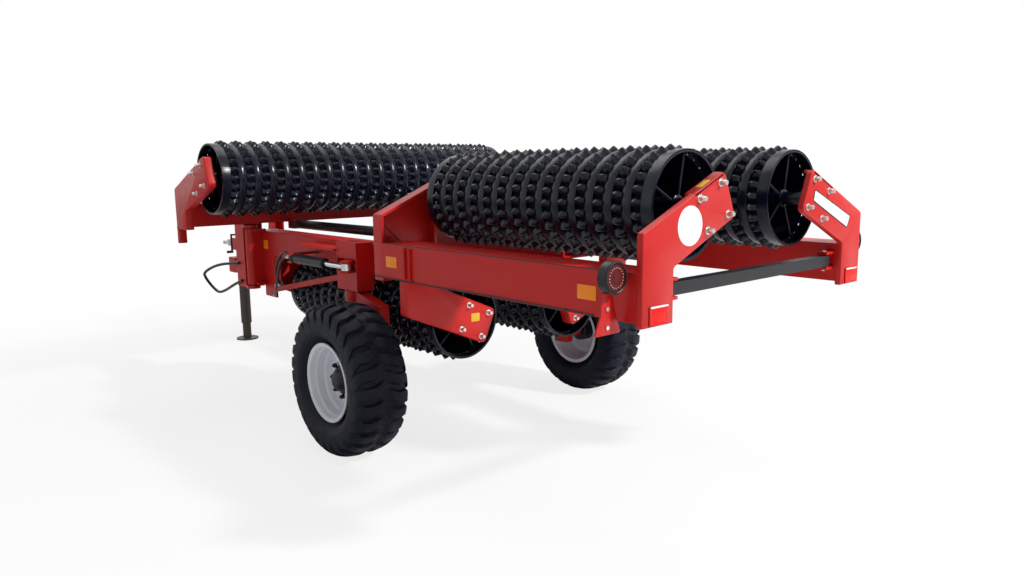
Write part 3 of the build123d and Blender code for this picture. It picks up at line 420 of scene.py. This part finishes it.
# Road wheels
LUGS, LUG_HIGH = 27, 0.021
TYRE_HALF, TYRE_BELLY = 0.1495, 0.298
BEAD_HALF, BEAD_R = 0.104, 0.1995
STUDS, STUD_CIRCLE = 8, 0.094


def wheel_middle(node):
    """The middle of a wheel's solid, on the axle's line."""
    return np.array((middle_of(node)[0], AXLE_Y, AXLE_Z))


def tyre(side):
    """A flotation tyre. At angle u round it and a across it, the section is a
    rounded box, raised by swept lugs: a wave of u less a sum of v and its sine,
    where v is 0 at the crown and 1 at the widest place. The wave is held flat at
    its top and fades down the sidewalls, which carry fine rings, a cosine of v."""
    name = f"tyre_{side[0]}"
    low, high = corners_of(name)
    depth = (high[2] - low[2]) / 2 - TYRE_BELLY
    around, across = 540, 72
    u = np.arange(around) * 2 * math.pi / around
    a = np.linspace(-0.76 * math.pi, 0.76 * math.pi, across)
    sin, cos = np.sin(a), np.cos(a)
    x = TYRE_HALF * np.sign(sin) * np.abs(sin) ** 0.72
    crown = (depth - LUG_HIGH) * np.abs(cos) ** 0.62
    inner_wall = -0.088 * np.abs(cos) ** 0.9
    r = TYRE_BELLY + np.where(cos > 0, crown, inner_wall)

    v = np.abs(a) / (0.5 * math.pi)
    slant = 5.2 * v + 0.75 * np.sin(2.5 * math.pi * v)
    half_turn = np.where(a > 0, math.pi, 0.0)
    wave = np.cos(LUGS * u[:, None] + (half_turn - slant)[None, :])
    bars = np.clip(wave * 5.0 + 2.4, 0, 1)
    centre_gap = np.clip(v * 16 - 0.2, 0, 1)
    fade = np.clip((0.97 - v) * 14, 0, 1)
    rise = LUG_HIGH * bars * (centre_gap * fade)[None, :]
    rings = np.cos(np.clip((v - 1.15) * 40, -math.pi, 9 * math.pi)) * (v > 1.15)
    outward = np.clip((v - 0.75) * 2.2, 0, 1)
    radius = r[None, :] + rise * (1 - 0.45 * outward)[None, :]
    swell = 0.35 * rise * outward[None, :] + 0.0016 * rings[None, :]
    wide = x[None, :] + swell * np.sign(a)[None, :]

    bead_x = np.array((BEAD_HALF, BEAD_HALF, -BEAD_HALF, -BEAD_HALF))
    bead_r = np.array((BEAD_R + 0.016, BEAD_R, BEAD_R, BEAD_R + 0.016))
    wide = np.concatenate([wide, np.tile(bead_x, (around, 1))], axis=1)
    radius = np.concatenate([radius, np.tile(bead_r, (around, 1))], axis=1)
    y, z = radius * np.cos(u)[:, None], radius * np.sin(u)[:, None]
    points = wheel_middle(name) + np.stack([wide, y, z], axis=-1)
    surface = (points.reshape(-1, 3), grid_faces(around, points.shape[1], True, True))
    piece(f"tread_{name}", [surface], TYRE, f"wheel_{side[0]}", [name], 38)


def rim(side):
    """A deep white rim: one closed profile turned about the axle, with a rolled
    flange each side, a drop centre and a dished disc."""
    name, way = side
    profile = (
        (0.108, 0.1985), (0.117, 0.2), (0.119, 0.2125), (0.124, 0.2138), (0.1275, 0.2115), (0.1275, 0.2065),
        (0.1245, 0.2035), (0.123, 0.1945), (0.118, 0.1905), (0.1, 0.189), (0.094, 0.186), (0.088, 0.1795),
        (0.082, 0.1775), (0.052, 0.176), (0.046, 0.1735), (0.04, 0.1645), (0.034, 0.162), (0.012, 0.158),
        (0.003, 0.15), (0.001, 0.136), (0.012, 0.12), (0.021, 0.112), (0.026, 0.104), (0.026, 0.07),
        (0.014, 0.07), (0.013, 0.09), (-0.004, 0.12), (-0.014, 0.14), (-0.012, 0.16), (-0.03, 0.172),
        (-0.07, 0.186), (-0.116, 0.1895), (-0.123, 0.1945), (-0.1245, 0.2035), (-0.1275, 0.2065),
        (-0.1275, 0.2115), (-0.124, 0.2138), (-0.119, 0.2125), (-0.117, 0.2), (-0.108, 0.1985),
        (-0.06, 0.1945), (0.06, 0.1945),
    )
    dish = ring_turned(profile, wheel_middle(f"rim_{name}"), (way, 0, 0), 96)
    piece(f"dish_rim_{name}", [dish], WHITE, f"wheel_{name}", [f"rim_{name}"])


def hub(side):
    """A black hub that steps down to its cap, ringed by studs with nuts."""
    name, way = side
    origin, face = wheel_middle(f"rim_{name}"), (way, 0, 0)
    body = (
        (-0.065, 0.031), (-0.065, 0.06), (-0.06, 0.066), (-0.03, 0.0705), (0.012, 0.0695), (0.027, 0.069),
        (0.027, 0.078), (0.033, 0.08), (0.037, 0.077), (0.041, 0.066), (0.048, 0.058), (0.062, 0.054),
        (0.067, 0.048), (0.072, 0.045), (0.0765, 0.036), (0.0768, 0.0),
    )
    nut = (
        (0.024, 0.0), (0.024, 0.013), (0.042, 0.013), (0.044, 0.011), (0.044, 0.007), (0.051, 0.0065),
        (0.052, 0.0),
    )
    parts = [turned(body, origin, face, 48)]
    for k in range(STUDS):
        angle = k * 2 * math.pi / STUDS
        place = origin + STUD_CIRCLE * np.array((0, math.cos(angle), math.sin(angle)))
        parts.append(turned(nut, place, face, 6, angle))
    piece(f"hub_cap_{name}", parts, BLACK, f"wheel_{name}", [f"hub_{name}"])


# Ring rolls
TEETH = 26
TOOTHED_RINGS = {"upper": 14, "lower": 16, "centre": 22}
# Where the first end band of each roll begins, along its shaft
FIRST_END = {"upper": AXLE_Y - 1.799, "lower": AXLE_Y - 0.370, "centre": -1.1185}
PITCH, END_W, STAR_W = 0.099, 0.0525, 0.053
RING_GAP = 0.001
RING_R, TOOTH_R, VALLEY_R, BORE_R, END_BORE = 0.2215, 0.2405, 0.2035, 0.2, 0.2085
SPOKES, SPOKE_R, SPOKE_FOOT, SPOKE_LONG, SPOKE_IN = 5, 0.0065, 0.032, 0.174, 0.05
SHAFT_R = 0.0298


def ring_on(profiles, segments, middle, side, up, ahead, start=0.0):
    """Closed profiles at equal angles round an axis; one profile serves them all."""
    u = start + np.arange(segments) * 2 * math.pi / segments
    spoke = np.cos(u)[:, None] * side + np.sin(u)[:, None] * up
    profiles = np.broadcast_to(profiles, (segments, *profiles.shape[1:]))
    points = middle + profiles[..., :1] * ahead + profiles[..., 1:] * spoke[:, None, :]
    return points.reshape(-1, 3), grid_faces(segments, profiles.shape[1], True, True)


def smooth_ring(middle, side, up, ahead, wide, drop=0.006, bore=BORE_R):
    """A smooth ring: its crown is the ring radius less drop times a power of the
    distance from its middle, down to two side faces and the bore."""
    v = np.linspace(-1, 1, 9)
    crown = RING_R - drop * np.abs(v) ** 2.2
    along = np.concatenate([v, (1.0, 0.98, -0.98, -1.0)]) * wide / 2
    radius = np.concatenate([crown, (bore + 0.001, bore, bore, bore + 0.001)])
    profile = np.stack([along, radius], axis=1)
    return ring_on(profile[None], 72, middle, side, up, ahead)


def star_ring(middle, side, up, ahead, turn):
    """A toothed ring. Round it, |2p - 1| of the tooth phase p gives a broad wave
    for the flanks and a pointed one for the ridge; across it, the flanks join the
    smooth rings and the ridge stands above them, with a hollow between teeth."""
    per_tooth = 6
    segments = TEETH * per_tooth
    near = 1 - np.abs(2 * (np.arange(segments) / per_tooth % 1.0) - 1)
    broad = np.clip((near - 0.12) / 0.42, 0, 1)
    pointed = np.clip((near - 0.02) / 0.94, 0, 1)
    half = STAR_W / 2
    flank = VALLEY_R + (RING_R - 0.003 - VALLEY_R) * broad
    shoulder = VALLEY_R + (TOOTH_R - 0.006 - VALLEY_R) * (0.45 * broad + 0.55 * pointed)
    ridge = VALLEY_R + (TOOTH_R - VALLEY_R) * (0.3 * broad + 0.7 * pointed)
    bore = np.full(segments, BORE_R)
    half_section = ((1.0, bore), (1.0, flank), (0.5, shoulder), (0.12, ridge))
    columns = [(np.full(segments, -half * where), height) for where, height in half_section]
    columns += [(np.full(segments, half * where), height) for where, height in half_section[::-1]]
    profiles = np.stack([np.stack(column, axis=1) for column in columns], axis=1)
    return ring_on(profiles, segments, middle, side, up, ahead, turn * 2 * math.pi / TEETH)


def ring_roll(node, body, direction):
    """A whole roll in the place of its solid: rings by turns, end bands with thin
    spokes and the shaft with its collars."""
    low, high = corners_of(node)
    side, up, ahead = axes_of(direction)
    kind = node.split("_")[1]
    rings = TOOTHED_RINGS[kind]
    span = (rings - 1) * PITCH + STAR_W + 2 * END_W
    start = np.where(np.abs(ahead) > 0.5, FIRST_END[kind], (low + high) / 2)
    smooth_w = PITCH - STAR_W - RING_GAP
    surfaces = []
    rng = np.random.default_rng(rings)
    for k in range(rings):
        place = start + (END_W + STAR_W / 2 + k * PITCH) * ahead
        surfaces.append(star_ring(place, side, up, ahead, rng.random()))
        if k:
            surfaces.append(smooth_ring(place - PITCH / 2 * ahead, side, up, ahead, smooth_w))
    for along in (END_W / 2, span - END_W / 2):
        band = smooth_ring(start + along * ahead, side, up, ahead, END_W - RING_GAP, 0.001, END_BORE)
        surfaces.append(band)
    piece(f"rings_{node}", surfaces, ROLL, body, [node], 32)

    rod = ((0, 0.0), (0, SPOKE_R), (SPOKE_LONG, SPOKE_R), (SPOKE_LONG, 0.0))
    collar = ((-0.009, 0.0), (-0.009, 0.036), (-0.006, 0.041), (0.008, 0.041), (0.011, 0.036), (0.011, 0.0))
    parts = []
    for along, inward in ((SPOKE_IN, 1), (span - SPOKE_IN, -1)):
        centre = start + along * ahead
        for k in range(SPOKES):
            angle = k * 2 * math.pi / SPOKES + 0.5
            spoke = math.cos(angle) * side + math.sin(angle) * up
            parts.append(turned(rod, centre + spoke * SPOKE_FOOT, spoke, 10))
        parts.append(turned(collar, centre, -inward * ahead, 40))
    long = (high - low) @ ahead
    first = start - ((start - low) @ ahead) * ahead
    end_r = SHAFT_R - 0.0013
    shaft = ((0, 0), (0, end_r), (0.002, SHAFT_R), (long - 0.002, SHAFT_R), (long, end_r), (long, 0))
    parts.append(turned(shaft, first, ahead, 32))
    piece(f"shaft_{node}", parts, ROLL, body)


for side in SIDES:
    tyre(side)
    rim(side)
    hub(side)
    ring_roll(f"roll_upper_{side[0]}", f"upper_roll_{side[0]}", Y_WAY)
    ring_roll(f"roll_lower_{side[0]}", f"lower_roll_{side[0]}", Y_WAY)
ring_roll("roll_centre", "centre_roll", X_WAY)


# Arm plates and their bolts
ARM_HALF = 0.098
WING_SLOPE, CENTRE_SLOPE = math.radians(23.5), math.radians(20.4)
WING_END, CENTRE_END = 0.112, 0.15
CORNER = (0.006, 0.014, 0.026, 0.026, 0.014, 0.006)
BOLT_ALONG, BOLT_SQUARE = 0.071, 0.0665
BOLT = (
    (-0.004, 0.0), (-0.004, 0.0165), (0, 0.0165), (0.0005, 0.0105), (0.0215, 0.0105), (0.026, 0.009),
    (0.0265, 0.0),
)
SCREW = ((-0.002, 0.0), (-0.002, 0.009), (0.005, 0.009), (0.006, 0.008), (0.006, 0.0))
# Each arm's name, the way its edge is folded, its roll's height, where its post
# begins, whether it climbs or drops to the roll, and how deep its edge is
WING_ARMS = (
    ("arm_rear", 1, UPPER_Z, 0.643, 1, 0.027),
    ("arm_middle", -1, UPPER_Z, 0.480, 1, 0.085),
    ("arm_low_rear", 1, LOWER_Z, 0.643, -1, 0.07),
    ("arm_low_front", -1, LOWER_Z, 0.515, -1, 0.085),
)


def arm_outline(axis, inner, outer, foot, slope, end, climb):
    """Corners of an arm plate: a post between inner and outer, then an arm, as wide
    as ARM_HALF on each side of its line, that climbs or drops to the roll's axis."""
    tan, cos, sin = math.tan(slope), math.cos(slope), math.sin(slope)
    lift = ARM_HALF / cos
    near = axis[1] + climb * (lift - (outer - axis[0]) * tan)
    far = axis[1] - climb * (lift + (inner - axis[0]) * tan)
    tip = np.array((axis[0] - end * cos, axis[1] + climb * end * sin))
    away = np.array((ARM_HALF * sin, climb * ARM_HALF * cos))
    return [(outer, foot), (outer, near), tip + away, tip - away, (inner, far), (inner, foot)]


def bearing_bolts(origin, across, up, ahead, slope, climb):
    """Four long bolts round a bearing, square to the arm, on a plate's outer face."""
    along = math.cos(slope) * across - math.sin(slope) * climb * up
    square = math.sin(slope) * climb * across + math.cos(slope) * up
    bolts = []
    for a in (-BOLT_ALONG, BOLT_ALONG):
        for b in (-BOLT_SQUARE, BOLT_SQUARE):
            bolts.append(turned(BOLT, np.asarray(origin) + a * along + b * square, -ahead, 20))
    return bolts


def rear_lip(outline, origin, across):
    """The flange along the sloping top edge of a wing's rear arm."""
    low, root, tip = (np.array(outline[k]) for k in (3, 1, 2))
    along, down = unit(root - tip), unit(low - tip) * 0.015
    near, far = tip + 0.012 * along, tip + 0.21 * along
    lip = (near, far, far + down, near + down)
    return flat_plate(lip, origin, across, Z_WAY, Y_WAY, 0.05, 0.003, 0.005)


def wing_arms(side):
    """The folded plates of one wing's four arms, with their bolts."""
    name, way = side
    across = way * X_WAY
    bolts = []
    for label, fold, height, inner, climb, depth in WING_ARMS:
        low, high = corners_of(f"{label}_right")
        face = low[1] if fold > 0 else high[1]
        foot = low[2] if climb > 0 else high[2]
        outline = arm_outline((ROLL_X, height), inner, high[0], foot, WING_SLOPE, WING_END, climb)
        origin, ahead = face * Y_WAY, fold * Y_WAY
        surfaces = [folded_plate(outline, origin, across, Z_WAY, ahead, depth, CORNER)]
        if label == "arm_rear":
            surfaces.append(rear_lip(outline, origin, across))
        piece(f"plate_{label}_{name}", surfaces, RED, f"wing_{name}", [f"{label}_{name}"])
        bearing = (way * ROLL_X, face, height)
        bolts += bearing_bolts(bearing, across, Z_WAY, ahead, WING_SLOPE, climb)
    bracket = corners_of(f"lamp_plate_{name}")[0][1]
    for z in (1.026, 0.958):
        bolts.append(turned(SCREW, (way * 0.9, bracket, z), -Y_WAY, 6))
    piece(f"bolts_{name}", bolts, ZINC, f"wing_{name}")


def centre_plates():
    """The two folded plates that carry the centre roll, each with a finger that
    reaches down along the front edge of its post."""
    low, high = corners_of("centre_arms")
    axis = middle_of("roll_centre")[1:]
    inner, outer, foot = high[1] - 0.183, high[1], 1.142
    outline = arm_outline(axis, inner, outer, foot, CENTRE_SLOPE, CENTRE_END, 1)
    finger_in, finger_top = outer - 0.036, 1.16
    finger = [(finger_in, finger_top), (outer, finger_top), (outer, low[2]), (finger_in, low[2])]
    surfaces, bolts = [], []
    for _, way in SIDES:
        origin, ahead = way * high[0] * X_WAY, -way * X_WAY
        surfaces.append(folded_plate(outline, origin, Y_WAY, Z_WAY, ahead, 0.05, CORNER))
        surfaces.append(flat_plate(finger, origin, Y_WAY, Z_WAY, ahead, 0.05, 0.004, 0.003))
        bolts += bearing_bolts((way * high[0], *axis), Y_WAY, Z_WAY, ahead, CENTRE_SLOPE, 1)
    piece("plates_centre", surfaces, RED, "centre_section", ["centre_arms"])
    piece("bolts_centre", bolts, ZINC, "centre_section")


# Signs, reflectors and lamps
LAMP_DOTS, DOT_CIRCLE = 20, 0.036


def disc_and_label():
    """The blank white disc on the left rear plate and the blank label on the right."""
    disc = ((-0.001, 0), (-0.001, 0.0745), (0.0012, 0.0745), (0.0018, 0.073), (0.0018, 0))
    place = (-0.553, REAR_FACE, 1.304)
    piece("round_sign", [turned(disc, place, -Y_WAY, 72)], LABEL_AND_HIGHLIGHT, "wing_left")
    corners = np.array(((0.36, 1.414), (0.707, 1.28), (0.679, 1.222), (0.348, 1.361)))
    inner, face = inset(corners, 0.0055), REAR_FACE * Y_WAY
    edge = flat_plate(corners, face, X_WAY, Z_WAY, -Y_WAY, 0.001, 0.004, 0.0002)
    film = flat_plate(inner, face - 0.0005 * Y_WAY, X_WAY, Z_WAY, -Y_WAY, 0.0012, 0.003, 0.0002)
    piece("label_edge", [edge], EDGING_AND_SHADE, "wing_right")
    piece("label", [film], LABEL_AND_HIGHLIGHT, "wing_right")


def patch(width, height):
    """The corners of a rectangle round the origin."""
    w, h = width / 2, height / 2
    return [(-w, -h), (w, -h), (w, h), (-w, h)]


def reflector(name, place, across, out, size, glass, body, thick):
    """A reflector: a softened upright block on a face."""
    block = flat_plate(patch(*size), place, across, Z_WAY, out, thick, 0.004, 0.0015)
    piece(f"{name}_face", [block], glass, body)


def reflector_frame(name, place, across, out, size, body):
    """A raised red frame round a reflector, and above it a white bar that is a painted highlight."""
    w, h, edge = size[0] / 2, size[1] / 2, 0.006
    middle, facing = place + 0.003 * out, tuple(out)
    bars = []
    for x in (-w - edge / 2, w + edge / 2):
        foot, head = middle + x * across - (h + edge) * Z_WAY, middle + x * across + (h + edge) * Z_WAY
        bars.append(bar(foot, head, 0.01, edge, 0.002, facing))
    sill = middle - (h + edge / 2) * Z_WAY
    bars.append(bar(sill - w * across, sill + w * across, edge, 0.01, 0.002, facing))
    piece(f"{name}_frame", bars, RED, body)
    # A white bar along the frame's top: a painted highlight on its top edge, not a part.
    highlight_middle, reach = place + 0.005 * out + (h + edge / 2) * Z_WAY, (w + edge) * across
    top = bar(highlight_middle - reach, highlight_middle + reach, edge, 0.012, 0.002, facing)
    piece(f"{name}_top", [top], LABEL_AND_HIGHLIGHT, body)


def reflectors(side):
    """The reflectors of one wing: a red one behind and three amber ones outwards."""
    name, way = side
    body, out = f"wing_{name}", way * X_WAY
    place, size = np.array((way * 0.734, REAR_FACE, 0.993)), (0.087, 0.06)
    reflector(f"red_rear_{name}", place, X_WAY, -Y_WAY, size, GLOW, body, 0.006)
    reflector_frame(f"red_rear_{name}", place, X_WAY, -Y_WAY, size, body)
    for label, x, y, z, size in (
        ("0", BEAM_FACE, -0.318, 1.058, (0.097, 0.056)),
        ("1", BEAM_FACE, -1.662, 1.058, (0.097, 0.056)),
        ("inner", 0.66, 1.556, 1.012, (0.1, 0.062)),
    ):
        place = (way * x, AXLE_Y + y, z)
        reflector(f"amber_{name}_{label}", place, Y_WAY, out, size, AMBER, body, 0.003)


def lamp(side):
    """A round lamp in the place of its solid, each profile measured back from its
    bracket: a black housing, a dark red face, a raised middle and small light dots."""
    name = side[0]
    low, high = corners_of(f"lamp_{name}")
    radius, depth = (high[2] - low[2]) / 2, high[1] - low[1]
    place = np.array(((low[0] + high[0]) / 2, high[1], (low[2] + high[2]) / 2))
    body, back = f"wing_{name}", -Y_WAY
    case = (
        (0, 0.0), (0, radius - 0.003), (0.004, radius), (depth - 0.008, radius),
        (depth - 0.002, radius - 0.006), (depth - 0.004, radius - 0.01), (depth - 0.01, radius - 0.011),
        (depth - 0.01, 0.0),
    )
    face = (
        (depth - 0.011, 0), (depth - 0.011, radius - 0.011), (depth - 0.006, radius - 0.012),
        (depth - 0.005, 0.03), (depth - 0.0035, 0.024), (depth - 0.003, 0.0),
    )
    button = ((depth - 0.005, 0.0), (depth - 0.005, 0.0225), (depth - 0.0015, 0.019), (depth - 0.001, 0.0))
    dot = ((depth - 0.006, 0), (depth - 0.006, 0.0028), (depth - 0.0035, 0.0018), (depth - 0.003, 0))
    piece(f"lamp_case_{name}", [turned(case, place, back, 64)], BLACK, body, [f"lamp_{name}"])
    piece(f"lamp_face_{name}", [turned(face, place, back, 64)], LENS, body)
    piece(f"lamp_middle_{name}", [turned(button, place, back, 40)], LENS, body)
    dots = []
    for k in range(LAMP_DOTS):
        angle = k * 2 * math.pi / LAMP_DOTS
        spot = place + DOT_CIRCLE * np.array((math.cos(angle), 0, math.sin(angle)))
        dots.append(turned(dot, spot, back, 8))
    piece(f"lamp_dots_{name}", dots, ZINC, body)


def lamp_bracket(side):
    """The lamp's bracket: a thin plate with a neck that flares at its foot."""
    name, way = side
    node = f"lamp_plate_{name}"
    outline = (
        (0.826, 0.931), (0.965, 0.931), (0.934, 1.0), (0.928, 1.06), (0.928, 1.168), (0.868, 1.168),
        (0.868, 1.06), (0.852, 1.0),
    )
    radii = (0.006, 0.006, 0.05, 0.05, 0.02, 0.02, 0.05, 0.03)
    origin = corners_of(node)[0][1] * Y_WAY
    surface = flat_plate(outline, origin, way * X_WAY, Z_WAY, Y_WAY, 0.006, radii)
    piece(f"bracket_lamp_{name}", [surface], RED, f"wing_{name}", [node])


# Small fittings
def beam_fittings(side):
    """Two upright strips on a wing's outer beam and the tie bar's bolt heads."""
    name, way = side
    x, tie_y = way * (BEAM_FACE + 0.003), middle_of("tie_bar")[1]
    strips = []
    for y in (AXLE_Y - 0.446, AXLE_Y - 0.492):
        strips.append(bar((x, y, 0.982), (x, y, 1.138), 0.006, 0.02, 0.003, (way, 0, 0)))
    piece(f"strips_{name}", strips, RED, f"wing_{name}")
    heads = []
    for z, facing in ((1.1125, 1), (1.0275, -1)):
        heads.append(turned(SCREW, (way * 0.595, tie_y, z), facing * Z_WAY, 6))
    piece(f"tie_bolts_{name}", heads, ZINC, f"wing_{name}")


def beam_lines():
    """The thin wire with its clips under the left outer beam's face, and a black line
    of painted shade along the beam's top edge, where its top face is in shadow."""
    wire_x, clip_x, shade_line_x = -BEAM_FACE - 0.0025, -BEAM_FACE - 0.003, -BEAM_FACE - 0.001
    run = []
    for y, z in ((-0.16, 0.975), (-0.62, 0.972), (-1.15, 0.976), (-1.7, 0.974)):
        run.append((wire_x, AXLE_Y + y, z))
    wires = [bar(start, end, 0.007, 0.007, 0.0034) for start, end in zip(run, run[1:])]
    for y in (AXLE_Y - 0.5, AXLE_Y - 1.1, AXLE_Y - 1.55):
        wires.append(bar((clip_x, y - 0.008, 0.975), (clip_x, y + 0.008, 0.975), 0.011, 0.011, 0.004))
    piece("beam_wire", wires, EDGING_AND_SHADE, "wing_left")
    # A black bar along the beam's top edge: painted shade, not a part.
    start, end = (shade_line_x, AXLE_Y - 1.88, 1.1495), (shade_line_x, AXLE_Y - 0.24, 1.1495)
    piece("beam_painted_shade_line", [bar(start, end, 0.004, 0.004, 0.001)], EDGING_AND_SHADE, "wing_left")


def couplings():
    """A coupling at each end of the two steering hoses, and the block at the front
    hose's low end."""
    body = ((0, 0), (0, 0.0115), (0.018, 0.0115), (0.02, 0.0095), (0.034, 0.0095), (0.034, 0))
    ends = []
    for place, way in (
        ((-0.814, 0.835, 0.996), (0.04, 1, 0.36)),
        ((-0.851, 0.804, 0.998), (0, 1, -0.1)),
        ((-0.677, 1.310, 0.756), (0.6, 0.75, -0.8)),
        ((-0.669, 1.428, 0.668), (0.4, 1, -0.3)),
    ):
        ends.append(turned(body, hand_point(place) - unit(way) * 0.012, way, 6))
    piece("couplings", ends, ZINC, "wing_left")
    start, end = hand_point((-0.672, 1.30, 0.765)), hand_point((-0.672, 1.38, 0.735))
    piece("valve_block", [bar(start, end, 0.03, 0.034, 0.006)], ZINC, "wing_left")


def stickers():
    """Plain yellow stickers: one on the left low rear arm, one on the sloping top
    of each rear arm."""
    low_face = corners_of("arm_low_rear_left")[0][1]
    place = (-ROLL_X, low_face - 0.0005, 0.737)
    film = flat_plate(patch(0.056, 0.044), place, X_WAY, Z_WAY, -Y_WAY, 0.0008, 0.003, 0.0002)
    piece("sticker_low", [film], STICKER, "wing_left")
    sin, cos = math.sin(WING_SLOPE), math.cos(WING_SLOPE)
    x = ROLL_X + (0.12 - WING_END) * cos + ARM_HALF * sin
    z = UPPER_Z - (0.12 - WING_END) * sin + ARM_HALF * cos
    for name, way in SIDES:
        place = (way * x, REAR_FACE + 0.024, z)
        along, out = np.array((way * cos, 0, -sin)), np.array((way * sin, 0, cos))
        film = flat_plate(patch(0.064, 0.028), place, along, Y_WAY, out, 0.0008, 0.003, 0.0002)
        piece(f"sticker_{name}", [film], STICKER, f"wing_{name}")


# Hoses that run free between their ends
HOSES = (
    ("hose_steer_front", 0.016, 0.589, "wing_left", (
        (-0.814, 0.835, 0.996), (-0.812, 0.905, 1.022), (-0.800, 1.000, 1.000), (-0.788, 1.092, 0.937),
        (-0.760, 1.188, 0.868), (-0.712, 1.268, 0.802), (-0.677, 1.310, 0.756))),
    ("hose_steer_rear", 0.016, 0.740, "wing_left", (
        (-0.851, 0.804, 0.998), (-0.852, 0.862, 0.988), (-0.842, 0.935, 0.945), (-0.812, 1.040, 0.866),
        (-0.770, 1.160, 0.784), (-0.718, 1.300, 0.706), (-0.669, 1.428, 0.668))),
    ("hose_loop", 0.020, 1.231, "centre_section", (
        (-0.761, 1.790, 0.868), (-0.793, 1.950, 0.856), (-0.822, 2.110, 0.824), (-0.842, 2.269, 0.763),
        (-0.819, 2.308, 0.722), (-0.788, 2.312, 0.670), (-0.762, 2.280, 0.625), (-0.750, 2.225, 0.604),
        (-0.752, 2.070, 0.644), (-0.764, 1.905, 0.700), (-0.761, 1.750, 0.748))),
)


def hand_point(point):
    """A point measured from the axle, in the part's frame."""
    return (point[0], point[1] + AXLE_Y, point[2])


def hose(name, size, length, body, stops):
    """A hose as a curve through given points, thickened to its diameter."""
    curve = bpy.data.curves.new(f"{name}_run", "CURVE")
    curve.dimensions = "3D"
    curve.bevel_depth = size / 2
    curve.bevel_resolution = 4
    curve.resolution_u = 8
    run = curve.splines.new("NURBS")
    run.points.add(len(stops) - 1)
    for point, stop in zip(run.points, stops):
        point.co = (*hand_point(stop), 1)
    run.order_u = 3
    run.use_endpoint_u = True
    curve.use_fill_caps = True
    curve.materials.append(HOSE)
    item = placed(f"{name}_run", curve)
    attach(item, body)
    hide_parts(name)


for side in SIDES:
    wing_arms(side)
    reflectors(side)
    lamp(side)
    lamp_bracket(side)
centre_plates()
disc_and_label()
for side in SIDES:
    beam_fittings(side)
beam_lines()
couplings()
stickers()
for row in HOSES:
    hose(*row)


# Stage, light and camera
def floor():
    """A wide pale floor that takes the shadow. The camera alone sees it as mostly
    white, and as wholly white further out."""
    material = bpy.data.materials.new("pale floor")
    material.use_nodes = True
    tree = material.node_tree
    shader = tree.nodes["Principled BSDF"]
    shader.inputs["Base Color"].default_value = (0.95, 0.95, 0.95, 1)
    shader.inputs["Roughness"].default_value = 1.0
    shader.inputs["Specular IOR Level"].default_value = 0.0
    where = tree.nodes.new("ShaderNodeTexCoord").outputs["Object"]
    away = tree.nodes.new("ShaderNodeVectorMath")
    away.operation = "LENGTH"
    tree.links.new(where, away.inputs[0])
    far = ramp(tree, away.outputs["Value"], 2.2, 5.0, 0.8, 1.0)
    camera_only = tree.nodes.new("ShaderNodeLightPath").outputs["Is Camera Ray"]
    white = tree.nodes.new("ShaderNodeEmission")
    blend = tree.nodes.new("ShaderNodeMixShader")
    tree.links.new(maths(tree, "MULTIPLY", far, camera_only), blend.inputs[0])
    tree.links.new(shader.outputs[0], blend.inputs[1])
    tree.links.new(white.outputs[0], blend.inputs[2])
    tree.links.new(blend.outputs[0], tree.nodes["Material Output"].inputs["Surface"])
    half = 60.0
    mesh = bpy.data.meshes.new("floor")
    corners = [(x, y, 0) for x, y in ((-half, -half), (half, -half), (half, half), (-half, half))]
    mesh.from_pydata(corners, [], [(0, 1, 2, 3)])
    mesh.materials.append(material)
    placed("floor", mesh)


def sky():
    """A pale world that the camera and mirrors see as white."""
    world = bpy.data.worlds.new("pale sky")
    bpy.context.scene.world = world
    world.use_nodes = True
    tree = world.node_tree
    tree.nodes.clear()
    path = tree.nodes.new("ShaderNodeLightPath").outputs
    seen = maths(tree, "MAXIMUM", path["Is Camera Ray"], path["Is Glossy Ray"])
    seen = maths(tree, "MAXIMUM", seen, path["Is Transmission Ray"])
    blend = tree.nodes.new("ShaderNodeMixShader")
    tree.links.new(seen, blend.inputs[0])
    for k, strength in ((1, 0.3), (2, 1.0)):
        background = tree.nodes.new("ShaderNodeBackground")
        background.inputs["Color"].default_value = (1, 1, 1, 1)
        background.inputs["Strength"].default_value = strength
        tree.links.new(background.outputs[0], blend.inputs[k])
    out = tree.nodes.new("ShaderNodeOutputWorld")
    tree.links.new(blend.outputs[0], out.inputs[0])


def aimed(item, place, side, up, back):
    """Puts a lamp or the camera at a place, looking the opposite way to back."""
    rows = [[side[k], up[k], back[k], place[k]] for k in range(3)]
    item.matrix_world = Matrix(rows + [[0, 0, 0, 1]])


def lights():
    """A small strong lamp behind the camera and to its right, and two wide soft ones."""
    for name, place, aim, size, power in (
        ("sun", (4.0, -10.0, 7.5), (0, -0.5, 0.8), 0.8, 1350),
        ("left fill", (-8.0, 1.0, 3.0), (0, -0.3, 0.9), 5.0, 25),
        ("top", (0.5, 1.5, 8.0), (0, 0.0, 0.0), 5.0, 150),
    ):
        data = bpy.data.lights.new(name, "AREA")
        data.size = size
        data.energy = power
        aimed(placed(name, data), place, *axes_of(np.array(place) - np.array(aim)))


def camera():
    """The photograph's place and angle, from its vanishing points and the wheels."""
    yaw, pitch, roll = 0.7197153, 0.1549369, -0.0115701
    focal_px, photo_px, sensor_mm = 778.4585, 1024, 36.0
    place = (-2.9353, -3.6459 + AXLE_Y, 1.5278)
    ahead = np.array((math.sin(yaw) * math.cos(pitch), math.cos(yaw) * math.cos(pitch), -math.sin(pitch)))
    level = np.array((math.cos(yaw), -math.sin(yaw), 0))
    lift = np.cross(level, ahead)
    right = math.cos(roll) * level + math.sin(roll) * lift
    up = math.cos(roll) * lift - math.sin(roll) * level
    data = bpy.data.cameras.new("photo")
    data.sensor_width = sensor_mm
    data.lens = focal_px / photo_px * sensor_mm
    data.clip_end = 200
    view = placed("photo", data)
    aimed(view, place, right, up, -ahead)
    bpy.context.scene.camera = view


floor()
sky()
lights()
camera()
bpy.context.scene.view_settings.view_transform = "Standard"
